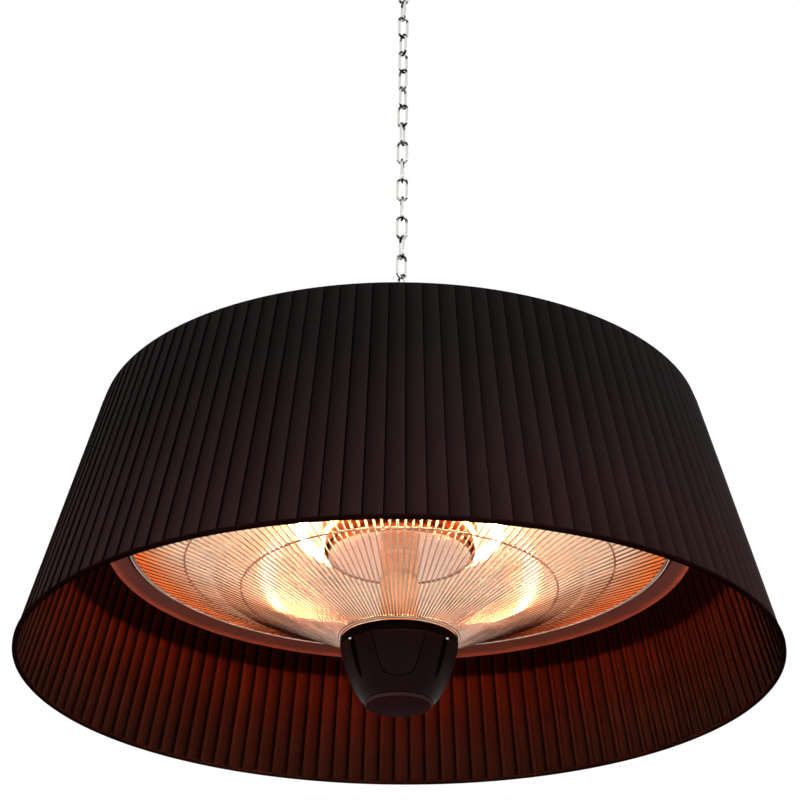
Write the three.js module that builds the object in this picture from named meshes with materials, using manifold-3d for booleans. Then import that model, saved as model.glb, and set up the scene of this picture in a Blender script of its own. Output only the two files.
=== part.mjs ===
// Hanging patio heater: a pleated drum shade round a ring-lamp heater head, on a chain from a ceiling plate.
// Millimetres, +Z up. The origin is the centre of the ceiling plate's top face, where it meets the ceiling.

import * as THREE from 'three';
import { mergeVertices } from 'three/addons/utils/BufferGeometryUtils.js';
import Module from 'manifold-3d';

const wasm = await Module();
wasm.setup();

// Clearances and allowances that every piece shares
const seatGap = 0.3;
const cutOverrun = 2;
const sheetThickness = 1.2;

// Ceiling plate and the staple welded under it
const plateRadius = 35;
const plateThickness = 4;
const plateScrewInset = 9;
const plateScrewHoleRadius = 2.6;
const plateScrewCount = 3;
const stapleWireRadius = 3;
const stapleBendRadius = 10;
const stapleLegLength = 10;
const stapleWeldDepth = 2;

// Snap hooks, one at each end of the chain
const hookClearance = 0.5;
const hookInnerLength = 40;
const hookInnerWidth = 10;
const gateRadius = 2;
const gateSetback = 3;

// Chain of oval links, each turned a little more than a quarter turn from the one above
const linkCount = 21;
const linkWireRadius = 1.2;
const linkInnerLength = 20.3;
const linkInnerWidth = 6;
const linkTurnDegrees = 97;
const linksAboveTheFaceOnOne = 11;

// Eye bolt that carries the heater, its lock washer and its nut
const eyeInnerRadius = 9;
const eyeWireRadius = 3.5;
const eyeCollarRadius = 9;
const eyeCollarHeight = 12;
const boltRadius = 4;
const boltEndBelowNut = 2.5;
const lockWasherRadius = 8;
const lockWasherThickness = 1.6;
const nutHeight = 6.5;
const nutCornerRadius = 7.5;

// Shade: a tapered drum of knife pleats, hung on the band of a top frame and bound at its rim
const shadeBottomRadius = 300;
const shadeTopRadius = 247;
const shadeHeight = 210.5;
const pleatCount = 130;
const pleatDepth = 2.2;
const pleatFoldShare = 0.12;
const clothThickness = 1.2;
const rimBandHeight = 3;
const rimBandDepth = 4.4;
const topBandHeight = 8;
const topBandThickness = 2;
const hubDropBelowTop = 22.5;
const hubRadius = 26;
const hubThickness = 3;
const armRadius = 2.5;
const armCount = 4;
const armFirstDegrees = 45;
const armReachIntoHub = 6;

// Heater head: cover, bezel and reflector. Its own heights start headHeight below the top of the hub.
const headHeight = 188;
const headAirGap = 39;
const coverTopRadius = 60;
const coverShoulderInset = 9.8;
const coverShoulderClearance = 4.25;
const coverLap = 5;
const bezelWidth = 14.4;
const bezelFall = 6.5;
const bezelStepAboveLip = 1;
const bezelSkirtHeight = 14;
const bezelGroove = 0.5;
const reflectorDepth = 47.5;
const reflectorThickness = 1;
const reflectorSeatRadius = 24;
const reflectorSeatDrop = 33.7;

// Wire guard
const guardWireCount = 72;
const guardWireRadius = 0.75;
const guardRingRadius = 1.5;
const guardHoopWireRadius = 1;
const guardClearance = 1.1;
const guardDropBelowLip = 0.5;
const guardBendRadius = 150;
const guardBendHeight = 77.5;
const outerHoopRadius = 173;
const innerHoopRadius = 127;

// Ring lamp and its holders
const lampTubeRadius = 5.5;
const lampRadius = 80;
const lampDrop = 31;
const holderCount = 4;
const holderFirstDegrees = 45;
const holderThickness = 3;
const holderMargin = 3;
const holderHook = 3;

// Heat shield, a polished drum inside the ring lamp, and the post that carries the control cap
const shieldRadius = 57.8;
const shieldTopRadius = 65;
const shieldBevel = 4;
const shieldDropBelowLamp = 21.6;
const shieldCollarWall = 3.3;
const shieldCollarHeight = 4;
const postRadius = 15.2;
const postWall = 2;
const postFlangeInset = 1;
const postFlangeThickness = 2;

// Control cap under the guard, with its receiver window, its base and the flutes of its two screws
const capTopRadius = 46.7;
const capTopHeight = 28.2;
const capLidThickness = 2;
const capLidSkirt = 5.7;
const capBottomRadius = 27;
const capBottomDepth = 27;
const capWall = 2;
const capBaseThickness = 3;
const capSideShares = [[0, 0], [0.2, 0.32], [0.48, 0.66], [0.78, 0.9], [1, 1]];
const windowTopWidth = 40;
const windowFootWidth = 17;
const windowHeight = 27;
const windowDropBelowSeam = 4;
const windowFootRoundShares = [[0.5, 0.12], [0.42, 0.04], [0.25, 0]];
const fluteRadius = 2.4;
const fluteDepth = 1.1;
const fluteLength = 30;
const fluteDegrees = 53;
const fluteDropBelowSeam = 3;

// Pieces inside the control cap and behind the reflector
const boardClearance = 2;
const boardWidth = 34;
const boardThickness = 1.6;
const boardHeight = 2;
const bossRadius = 2.4;
const bossInset = 6;
const terminalLength = 22;
const terminalWidth = 10;
const terminalHeight = 9;
const cutoutRadius = 8;
const cutoutHeight = 6;
const cutoutDistance = 60;

// Cable gland on the cover, where the supply cord comes in
const glandDistance = 44;
const glandHexRadius = 9;
const glandHexHeight = 5;
const glandDomeRadius = 7.4;
const glandDomeHeight = 11;
const glandThreadRadius = 6;
const glandThreadLength = 8;
const glandBoreRadius = 3.6;

// Curves of the cover and the reflector, as shares of the way across and of the way up or down
const coverDomeShares = [[0, 0], [0.1, 0.03], [0.35, 0.2], [0.7, 0.6], [1, 1]];
const reflectorDishShares = [[0.04, 0.3], [0.12, 0.55], [0.33, 0.78], [0.62, 0.93], [1, 1]];

// Numbers of facets
const headSegments = 36;
const bandSegments = 52;
const capSegments = 30;
const smallSegments = 18;
const hexSides = 6;
const wireSides = 8;
const linkSides = 6;
const linkBendSteps = 4;
const hookBendSteps = 5;
const lampSegments = 36;
const lampSides = 6;
const hoopSegments = 36;
const hoopSides = 3;
const guardRingSides = 4;
const guardWireSides = 3;

// Finishes, one material for each mesh
const finishes = {
  zincPlated: { color: 0xb9b9b4, roughness: 0.32, metalness: 1 },
  blackSteel: { color: 0x1d1b1b, roughness: 0.55, metalness: 0.4 },
  shadeCloth: { color: 0x231f1f, roughness: 0.85, metalness: 0 },
  brownSteel: { color: 0x5b2f27, roughness: 0.5, metalness: 0.35 },
  mirrorAluminium: { color: 0xe9c9a4, roughness: 0.16, metalness: 1 },
  guardWire: { color: 0xc9a27f, roughness: 0.28, metalness: 1 },
  glowingQuartz: { color: 0xfff0d2, roughness: 0.2, metalness: 0, emissive: 0xff9a3c },
  ceramic: { color: 0xd9d2c4, roughness: 0.8, metalness: 0 },
  capPlastic: { color: 0x191212, roughness: 0.3, metalness: 0 },
  darkWindow: { color: 0x0d0808, roughness: 0.12, metalness: 0 },
  circuitBoard: { color: 0x1f5a34, roughness: 0.6, metalness: 0 },
};

const up = new THREE.Vector3(0, 0, 1);
const { degToRad: radians, lerp, mapLinear } = THREE.MathUtils;

// Levels of the hanging train, from the ceiling down, where each piece bears on the next
const hookWireRadius = linkInnerWidth / 2 - hookClearance;
const linkPitch = linkInnerLength - seatGap;
const stapleBarLevel = -(plateThickness + stapleLegLength + stapleBendRadius);
const topHookInnerTop = stapleBarLevel + stapleWireRadius + seatGap;
const firstLinkInnerTop = topHookInnerTop - hookInnerLength + seatGap;
const lastLinkInnerBottom = firstLinkInnerTop - (linkCount - 1) * linkPitch - linkInnerLength;
const bottomHookInnerTop = lastLinkInnerBottom + seatGap;
const eyeCentreLevel = bottomHookInnerTop - hookInnerLength + seatGap - eyeInnerRadius;
const collarFootLevel = eyeCentreLevel - eyeInnerRadius - eyeWireRadius - eyeCollarHeight;
const hubTopLevel = collarFootLevel - lockWasherThickness - 2 * seatGap;

// Heights above the shade's rim, and how far the head's own heights start above it
const hubHeight = shadeHeight - hubDropBelowTop;
const rimLevel = hubTopLevel - hubHeight;
const headLift = hubHeight - headHeight;
const shadeRadiusAt = (height) => lerp(shadeBottomRadius, shadeTopRadius, height / shadeHeight);

// Heights and radii of the head, from its top down and from the bezel inwards
const boltHoleRadius = boltRadius + seatGap;
const coverTopHeight = headHeight - hubThickness - seatGap;
const nutTopHeight = coverTopHeight - sheetThickness - seatGap;
const reflectorSeatHeight = coverTopHeight - reflectorSeatDrop;
const reflectorLipHeight = reflectorSeatHeight - reflectorDepth;
const lampHeight = reflectorSeatHeight - lampDrop;
const shieldHeight = lampHeight - shieldDropBelowLamp;
const bezelInnerHeight = reflectorLipHeight + bezelStepAboveLip;
const bezelOuterHeight = bezelInnerHeight - bezelFall;
const bezelSkirtTop = bezelOuterHeight + bezelSkirtHeight;
const bezelOuterRadius = shadeRadiusAt(headLift + bezelOuterHeight) - headAirGap;
const bezelInnerRadius = bezelOuterRadius - bezelWidth;
const reflectorLipRadius = bezelInnerRadius - bezelGroove - reflectorThickness;
const guardOuterRadius = reflectorLipRadius - guardClearance - guardRingRadius;
const guardOuterHeight = reflectorLipHeight - guardDropBelowLip;
const guardInnerRadius = capTopRadius + seatGap;
const guardInnerHeight = capTopHeight + seatGap + guardRingRadius;
const boardLength = 2 * (capBottomRadius - capWall - boardClearance);

// Merges a geometry's shared points, drops collapsed triangles and turns its faces outwards
function closedGeometry(source) {
  const bare = new THREE.BufferGeometry();
  bare.setAttribute('position', source.getAttribute('position'));
  if (source.index) {
    bare.setIndex(source.index);
  }
  const merged = mergeVertices(bare);
  const points = merged.getAttribute('position');
  const old = merged.index.array;
  const kept = [];
  const [a, b, c] = [new THREE.Vector3(), new THREE.Vector3(), new THREE.Vector3()];
  let volume = 0;
  for (let i = 0; i < old.length; i += 3) {
    const [p, q, r] = [old[i], old[i + 1], old[i + 2]];
    if (p === q || q === r || r === p) {
      continue;
    }
    kept.push(p, q, r);
    a.fromBufferAttribute(points, p);
    b.fromBufferAttribute(points, q);
    c.fromBufferAttribute(points, r);
    volume += a.dot(b.cross(c));
  }
  merged.setIndex(volume < 0 ? kept.reverse() : kept);
  return merged;
}

function solidOf(geometry) {
  const closed = closedGeometry(geometry);
  return new wasm.Manifold(new wasm.Mesh({
    numProp: 3,
    vertProperties: new Float32Array(closed.getAttribute('position').array),
    triVerts: new Uint32Array(closed.index.array),
  }));
}

function geometryOf(solid) {
  const mesh = solid.getMesh();
  const geometry = new THREE.BufferGeometry();
  geometry.setAttribute('position', new THREE.BufferAttribute(mesh.vertProperties, 3));
  geometry.setIndex(new THREE.BufferAttribute(mesh.triVerts, 1));
  return geometry;
}

function joined(...geometries) {
  return geometryOf(geometries.map(solidOf).reduce((whole, next) => whole.add(next)));
}

function cutBy(geometry, ...tools) {
  return geometryOf(tools.map(solidOf).reduce((left, tool) => left.subtract(tool), solidOf(geometry)));
}

function sharedBy(first, second) {
  return geometryOf(solidOf(first).intersect(solidOf(second)));
}

// Turns an outline of [radius, height] pairs once about the Z axis
function revolved(outline, segments) {
  const profile = [...outline, outline[0]].map(([radius, height]) => new THREE.Vector2(radius, height));
  return closedGeometry(new THREE.LatheGeometry(profile, segments).rotateX(Math.PI / 2));
}

// Outline of a bent sheet: a path, and the same path moved square to itself by the thickness.
// Level ends are cut along a plane of constant height instead of square to the sheet.
function sheetOutline(path, thickness, hasLevelEnds = false) {
  const points = path.map(([radius, height]) => new THREE.Vector2(radius, height));
  const squareTo = (from, to) => {
    const way = to.clone().sub(from).normalize();
    return new THREE.Vector2(-way.y, way.x);
  };
  const moved = points.map((point, index) => {
    const before = index > 0 ? squareTo(points[index - 1], point) : null;
    const after = index < points.length - 1 ? squareTo(point, points[index + 1]) : null;
    const first = before ?? after;
    const second = after ?? before;
    const isEnd = !before || !after;
    const mitre = isEnd && hasLevelEnds
      ? new THREE.Vector2(1 / first.x, 0)
      : first.clone().add(second).divideScalar(1 + first.dot(second));
    return point.clone().addScaledVector(mitre, thickness);
  });
  return [...points, ...moved.reverse()].map((point) => [point.x, point.y]);
}

// Carries a section of [across, along] pairs through a row of stations, as a loop or with flat ends
function swept(stations, section, isLoop) {
  const sides = section.length;
  const positions = stations.flatMap(({ centre, across, along }) => section.flatMap(([a, b]) => (
    centre.clone().addScaledVector(across, a).addScaledVector(along, b).toArray()
  )));
  const indices = [];
  const spans = isLoop ? stations.length : stations.length - 1;
  for (let span = 0; span < spans; span += 1) {
    const here = span * sides;
    const there = ((span + 1) % stations.length) * sides;
    for (let side = 0; side < sides; side += 1) {
      const next = (side + 1) % sides;
      indices.push(here + side, here + next, there + next);
      indices.push(here + side, there + next, there + side);
    }
  }
  const last = (stations.length - 1) * sides;
  for (let side = 1; side < sides - 1 && !isLoop; side += 1) {
    indices.push(0, side + 1, side);
    indices.push(last, last + side, last + side + 1);
  }
  const geometry = new THREE.BufferGeometry();
  geometry.setAttribute('position', new THREE.Float32BufferAttribute(positions, 3));
  geometry.setIndex(indices);
  return closedGeometry(geometry);
}

function roundSection(radius, sides) {
  return Array.from({ length: sides }, (_, side) => {
    const angle = ((side + 0.5) / sides) * 2 * Math.PI;
    return [radius * Math.cos(angle), radius * Math.sin(angle)];
  });
}

// A station of a wire that lies in the XZ plane, with the angle of its outer side
function wireStation(x, z, outwardAngle) {
  return {
    centre: new THREE.Vector3(x, 0, z),
    across: new THREE.Vector3(Math.cos(outwardAngle), 0, Math.sin(outwardAngle)),
    along: new THREE.Vector3(0, 1, 0),
  };
}

function bendStations(centreZ, radius, fromAngle, toAngle, steps) {
  return Array.from({ length: steps + 1 }, (_, step) => {
    const angle = lerp(fromAngle, toAngle, step / steps);
    return wireStation(radius * Math.cos(angle), centreZ + radius * Math.sin(angle), angle);
  });
}

function cylinder(radius, height, segments, topRadius = radius) {
  return new THREE.CylinderGeometry(topRadius, radius, height, segments).rotateX(Math.PI / 2)
    .translate(0, 0, height / 2);
}

function ring(radius, wireRadius, segments, sides) {
  const outline = roundSection(wireRadius, sides).map(([across, along]) => [radius + across, along]);
  return revolved(outline, segments);
}

function piece(name, geometry, finish, parent) {
  const mesh = new THREE.Mesh(geometry, new THREE.MeshStandardMaterial(finish));
  mesh.name = name;
  parent.add(mesh);
  return mesh;
}

// Everything below the bottom hook swings together: the heater's Z is 0 at the shade's rim
const heaterAssembly = new THREE.Group();
const heater = new THREE.Group();
const head = new THREE.Group();
heater.position.z = rimLevel;
head.position.z = headLift;
heaterAssembly.add(heater);
heater.add(head);

// The turn about Z of the piece that is so many places below the link seen face-on
const turnAtPlace = (place) => radians(place * linkTurnDegrees);

function addCeilingPlate() {
  const plate = cylinder(plateRadius, plateThickness, capSegments).translate(0, 0, -plateThickness);
  const bendLevel = stapleBarLevel + stapleBendRadius;
  const weldLevel = -plateThickness + stapleWeldDepth;
  const staple = swept([
    wireStation(-stapleBendRadius, weldLevel, Math.PI),
    ...bendStations(bendLevel, stapleBendRadius, Math.PI, 2 * Math.PI, 2 * hookBendSteps),
    wireStation(stapleBendRadius, weldLevel, 2 * Math.PI),
  ], roundSection(stapleWireRadius, wireSides), false);
  const hole = cylinder(plateScrewHoleRadius, plateThickness + 2 * cutOverrun, wireSides)
    .translate(0, plateRadius - plateScrewInset, -plateThickness - cutOverrun);
  const holes = Array.from({ length: plateScrewCount }, (_, index) => (
    hole.clone().rotateZ((index / plateScrewCount) * 2 * Math.PI)
  ));
  const geometry = cutBy(joined(plate, staple), ...holes);
  piece('ceiling_plate', geometry, finishes.zincPlated, heaterAssembly)
    .rotation.z = turnAtPlace(-linksAboveTheFaceOnOne - 2);
}

// A snap hook hangs from its inner top level: a bent wire body, and a gate on the open side
function addSnapHook(name, innerTopLevel, place) {
  const bendRadius = hookInnerWidth / 2 + hookWireRadius;
  const bendLevel = (hookInnerLength - hookInnerWidth) / 2;
  const gateLength = hookInnerLength - hookInnerWidth - 2 * gateSetback;
  const hingeLevel = -gateLength / 2;
  const hook = new THREE.Group();
  hook.position.z = innerTopLevel - hookInnerLength / 2;
  hook.rotation.z = turnAtPlace(place);
  heaterAssembly.add(hook);
  const body = swept([
    wireStation(bendRadius, hingeLevel + gateLength + seatGap, 0),
    ...bendStations(bendLevel, bendRadius, 0, Math.PI, hookBendSteps),
    ...bendStations(-bendLevel, bendRadius, Math.PI, 2 * Math.PI, hookBendSteps),
    wireStation(bendRadius, hingeLevel - gateRadius - seatGap, 2 * Math.PI),
  ], roundSection(hookWireRadius, wireSides), false);
  piece(name, body, finishes.zincPlated, hook);
  const rod = cylinder(gateRadius, gateLength, wireSides);
  const knuckle = new THREE.SphereGeometry(gateRadius, wireSides, wireSides / 2)
    .rotateX(Math.PI / 2);
  const gate = piece(`${name}_gate`, joined(rod, knuckle), finishes.zincPlated, hook);
  gate.position.set(bendRadius, 0, hingeLevel);
}

function addChain() {
  const bendRadius = linkInnerWidth / 2 + linkWireRadius;
  const bendLevel = (linkInnerLength - linkInnerWidth) / 2;
  for (let index = 0; index < linkCount; index += 1) {
    const link = swept([
      ...bendStations(bendLevel, bendRadius, 0, Math.PI, linkBendSteps),
      ...bendStations(-bendLevel, bendRadius, Math.PI, 2 * Math.PI, linkBendSteps),
    ], roundSection(linkWireRadius, linkSides), true);
    const name = `chain_link_${String(index + 1).padStart(2, '0')}`;
    const mesh = piece(name, link, finishes.zincPlated, heaterAssembly);
    mesh.position.z = firstLinkInnerTop - linkInnerLength / 2 - index * linkPitch;
    mesh.rotation.z = turnAtPlace(index - linksAboveTheFaceOnOne);
  }
}

function addEyeBolt() {
  const turn = turnAtPlace(linkCount - linksAboveTheFaceOnOne + 1);
  const collarFoot = headHeight + lockWasherThickness + 2 * seatGap;
  const eyeCentre = collarFoot + eyeCollarHeight + eyeWireRadius + eyeInnerRadius;
  const boltEnd = nutTopHeight - nutHeight - boltEndBelowNut;
  const eyeRadius = eyeInnerRadius + eyeWireRadius;
  const eye = new THREE.TorusGeometry(eyeRadius, eyeWireRadius, wireSides, smallSegments)
    .rotateX(Math.PI / 2).rotateZ(turn).translate(0, 0, eyeCentre);
  const collar = cylinder(eyeCollarRadius, eyeCollarHeight, smallSegments).translate(0, 0, collarFoot);
  const shank = cylinder(boltRadius, collarFoot - boltEnd + cutOverrun, wireSides).translate(0, 0, boltEnd);
  piece('eye_bolt', joined(eye, collar, shank), finishes.zincPlated, head);

  const washer = revolved([
    [boltHoleRadius, 0],
    [lockWasherRadius, 0],
    [lockWasherRadius, lockWasherThickness],
    [boltHoleRadius, lockWasherThickness],
  ], smallSegments);
  piece('lock_washer', washer, finishes.zincPlated, head).position.z = headHeight + seatGap;

  const nut = cutBy(
    cylinder(nutCornerRadius, nutHeight, hexSides),
    cylinder(boltHoleRadius, nutHeight + 2 * cutOverrun, wireSides).translate(0, 0, -cutOverrun),
  );
  piece('hanger_nut', nut, finishes.zincPlated, head).position.z = nutTopHeight - nutHeight;
}

// A band that follows the shade's taper, so far inside its outer face
function shadeBand(foot, height, inset, thickness) {
  const [footRadius, headRadius] = [foot, foot + height].map((level) => shadeRadiusAt(level) - inset);
  return revolved([
    [footRadius, foot],
    [headRadius, foot + height],
    [headRadius - thickness, foot + height],
    [footRadius - thickness, foot],
  ], bandSegments);
}

function addShade() {
  piece('shade_rim_band', shadeBand(0, rimBandHeight, 0, rimBandDepth), finishes.shadeCloth, heater);

  // Knife pleats: the cloth wall drifts outwards over each pleat and folds sharply back at its edge
  const foot = rimBandHeight + seatGap;
  const taper = shadeRadiusAt(shadeHeight) - shadeRadiusAt(foot);
  const outside = [[0, 0], [taper, shadeHeight - foot]];
  const inside = outside.map(([across, along]) => [across - clothThickness, along]).toReversed();
  const stations = Array.from({ length: 2 * pleatCount }, (_, index) => {
    const isEdge = index % 2 === 1;
    const pleat = Math.floor(index / 2) + (isEdge ? 1 - pleatFoldShare : 0);
    const angle = (pleat / pleatCount) * 2 * Math.PI;
    const across = new THREE.Vector3(Math.cos(angle), Math.sin(angle), 0);
    const radius = shadeRadiusAt(foot) - (isEdge ? 0 : pleatDepth);
    return { centre: across.clone().multiplyScalar(radius).addScaledVector(up, foot), across, along: up };
  });
  const pleats = swept(stations, [...outside, ...inside], true);
  piece('shade_pleats', pleats, finishes.shadeCloth, heater);

  // Welded top frame: the band inside the pleats that they hang from, four arms and the hub on the eye bolt
  const bandFoot = shadeHeight - topBandHeight;
  const bandInset = pleatDepth + clothThickness + seatGap;
  const hubUnderside = hubHeight - hubThickness;
  const armStart = hubRadius - armReachIntoHub;
  const armEnd = shadeRadiusAt(shadeHeight) - bandInset - topBandThickness / 2;
  const armLevels = [hubHeight - hubThickness / 2, shadeHeight - topBandHeight / 2];
  const slope = Math.atan2(armLevels[1] - armLevels[0], armEnd - armStart);
  const arm = swept([
    wireStation(armStart, armLevels[0], slope + Math.PI / 2),
    wireStation(armEnd, armLevels[1], slope + Math.PI / 2),
  ], roundSection(armRadius, linkSides), false);
  const arms = Array.from({ length: armCount }, (_, index) => (
    arm.clone().rotateZ(radians(armFirstDegrees) + (index / armCount) * 2 * Math.PI)
  ));
  const hub = cylinder(hubRadius, hubThickness, smallSegments).translate(0, 0, hubUnderside);
  const band = shadeBand(bandFoot, topBandHeight, bandInset, topBandThickness);
  const frame = joined(band, hub, ...arms);
  const boltHole = cylinder(boltHoleRadius, hubHeight, wireSides).translate(0, 0, hubHeight / 2);
  const trueUnderside = cylinder(hubRadius + cutOverrun, armRadius, smallSegments)
    .translate(0, 0, hubUnderside - armRadius);
  piece('shade_top_frame', cutBy(frame, boltHole, trueUnderside), finishes.blackSteel, heater);
}

// Underside of the reflector, from its lip up to its flat seat
function reflectorDish() {
  const dish = reflectorDishShares.map(([inwardShare, upShare]) => [
    lerp(reflectorLipRadius, reflectorSeatRadius, inwardShare),
    lerp(reflectorLipHeight, reflectorSeatHeight, upShare),
  ]);
  return [[reflectorLipRadius, reflectorLipHeight], ...dish];
}

// Height of the reflector's underside on the gentle slope round its seat
function dishHeightAt(radius) {
  const [foot, crown] = reflectorDish().slice(-2);
  return mapLinear(radius, foot[0], crown[0], foot[1], crown[1]);
}

function addCoverAndBezel() {
  const skirtRadius = bezelOuterRadius - sheetThickness - seatGap;
  const shoulderHeight = reflectorDish()[1][1] + coverShoulderClearance;
  const dome = coverDomeShares.map(([acrossShare, downShare]) => [
    lerp(coverTopRadius, skirtRadius - coverShoulderInset, acrossShare),
    lerp(coverTopHeight, shoulderHeight, downShare),
  ]);
  const coverPath = [
    [skirtRadius, bezelSkirtTop - coverLap],
    [skirtRadius, bezelSkirtTop],
    ...dome.toReversed(),
    [0, coverTopHeight],
  ];
  const cover = revolved(sheetOutline(coverPath, sheetThickness), headSegments);
  const boltHole = cylinder(boltHoleRadius, coverTopHeight, wireSides).translate(0, 0, coverTopHeight / 2);
  const glandHole = cylinder(glandThreadRadius + seatGap, coverTopHeight, smallSegments)
    .translate(0, glandDistance, coverTopHeight / 2);
  piece('rear_cover', cutBy(cover, boltHole, glandHole), finishes.blackSteel, head);

  const bezelPath = [
    [bezelInnerRadius, bezelInnerHeight],
    [bezelOuterRadius, bezelOuterHeight],
    [bezelOuterRadius, bezelSkirtTop],
  ];
  const bezel = revolved(sheetOutline(bezelPath, sheetThickness), headSegments);
  piece('bezel', bezel, finishes.brownSteel, head);
}

function addReflector() {
  const path = [...reflectorDish(), [postRadius - postWall, reflectorSeatHeight]];
  const outline = sheetOutline(path.toReversed(), reflectorThickness);
  piece('reflector', revolved(outline, headSegments), finishes.mirrorAluminium, head);
}

// Height of a hoop of the guard, which lies on the inner side of the bent wires
function hoopHeightAt(radius) {
  const [innerEnd, outerEnd] = radius > guardBendRadius
    ? [[guardBendRadius, guardBendHeight], [guardOuterRadius, guardOuterHeight]]
    : [[guardInnerRadius, guardInnerHeight], [guardBendRadius, guardBendHeight]];
  const slope = Math.atan2(outerEnd[1] - innerEnd[1], outerEnd[0] - innerEnd[0]);
  const rise = (guardWireRadius + seatGap + guardHoopWireRadius) / Math.cos(slope);
  return mapLinear(radius, innerEnd[0], outerEnd[0], innerEnd[1], outerEnd[1]) + rise;
}

// Radial wires from the outer ring down to the cap, bent once
function addGuard() {
  const fall = Math.atan2(guardOuterHeight - guardBendHeight, guardOuterRadius - guardBendRadius);
  const drop = Math.atan2(guardBendHeight - guardInnerHeight, guardBendRadius - guardInnerRadius);
  const wire = swept([
    wireStation(guardInnerRadius, guardInnerHeight, drop - Math.PI / 2),
    wireStation(guardBendRadius, guardBendHeight, (drop + fall) / 2 - Math.PI / 2),
    wireStation(guardOuterRadius, guardOuterHeight, fall - Math.PI / 2),
  ], roundSection(guardWireRadius, guardWireSides), false);
  const wires = Array.from({ length: guardWireCount }, (_, index) => (
    wire.clone().rotateZ((index / guardWireCount) * 2 * Math.PI)
  ));
  const outerRing = ring(guardOuterRadius, guardRingRadius, guardWireCount, guardRingSides)
    .translate(0, 0, guardOuterHeight);
  const innerRing = ring(guardInnerRadius, guardRingRadius, guardWireCount / 2, guardRingSides)
    .translate(0, 0, guardInnerHeight);
  piece('guard_wires', joined(outerRing, innerRing, ...wires), finishes.guardWire, head);

  for (const [name, radius] of [['outer', outerHoopRadius], ['inner', innerHoopRadius]]) {
    const hoop = ring(radius, guardHoopWireRadius, hoopSegments, hoopSides);
    piece(`guard_hoop_${name}`, hoop, finishes.guardWire, head).position.z = hoopHeightAt(radius);
  }
}

function addLampAndHolders() {
  const tube = (margin) => (
    ring(lampRadius, lampTubeRadius + margin, lampSegments, lampSides).translate(0, 0, lampHeight)
  );
  piece('outer_ring_lamp', tube(0), finishes.glowingQuartz, head);

  // A holder is a ceramic plate that hangs from the reflector and hooks round the tube from above
  const reach = lampTubeRadius + seatGap + holderMargin;
  const [innerEdge, outerEdge] = [lampRadius - reach, lampRadius + reach];
  const outline = new THREE.Shape([
    new THREE.Vector2(innerEdge, dishHeightAt(innerEdge) - seatGap),
    new THREE.Vector2(innerEdge, lampHeight - holderHook),
    new THREE.Vector2(outerEdge, lampHeight - holderHook),
    new THREE.Vector2(outerEdge, dishHeightAt(outerEdge) - seatGap),
  ]);
  const plate = new THREE.ExtrudeGeometry(outline, { depth: holderThickness, bevelEnabled: false })
    .translate(0, 0, -holderThickness / 2).rotateX(Math.PI / 2);
  for (let index = 0; index < holderCount; index += 1) {
    const turn = radians(holderFirstDegrees) + (index / holderCount) * 2 * Math.PI;
    const holder = cutBy(plate.clone().rotateZ(turn), tube(seatGap));
    piece(`lamp_holder_${index + 1}`, holder, finishes.ceramic, head);
  }
}

function addShieldAndPost() {
  const bore = postRadius + seatGap;
  const shieldCollarRadius = postRadius + shieldCollarWall;
  const drum = sheetOutline([
    [bore, shieldHeight],
    [shieldRadius, shieldHeight],
    [shieldRadius + shieldBevel, shieldHeight + shieldBevel],
    [shieldTopRadius, dishHeightAt(shieldTopRadius) - seatGap],
  ], sheetThickness);
  const shield = revolved([
    [bore, shieldHeight - shieldCollarHeight],
    [shieldCollarRadius, shieldHeight - shieldCollarHeight],
    [shieldCollarRadius, shieldHeight],
    ...drum.slice(1),
  ], capSegments);
  piece('heat_shield', shield, finishes.mirrorAluminium, head);

  const postTop = reflectorSeatHeight - seatGap;
  const postFoot = capTopHeight + seatGap;
  const postFlangeRadius = reflectorSeatRadius - postFlangeInset;
  const post = revolved([
    [postRadius - postWall, postFoot],
    [postRadius, postFoot],
    [postRadius, postTop - postFlangeThickness],
    [postFlangeRadius, postTop - postFlangeThickness],
    [postFlangeRadius, postTop],
    [postRadius - postWall, postTop],
  ], smallSegments);
  piece('centre_post', post, finishes.mirrorAluminium, head);
}

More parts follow.
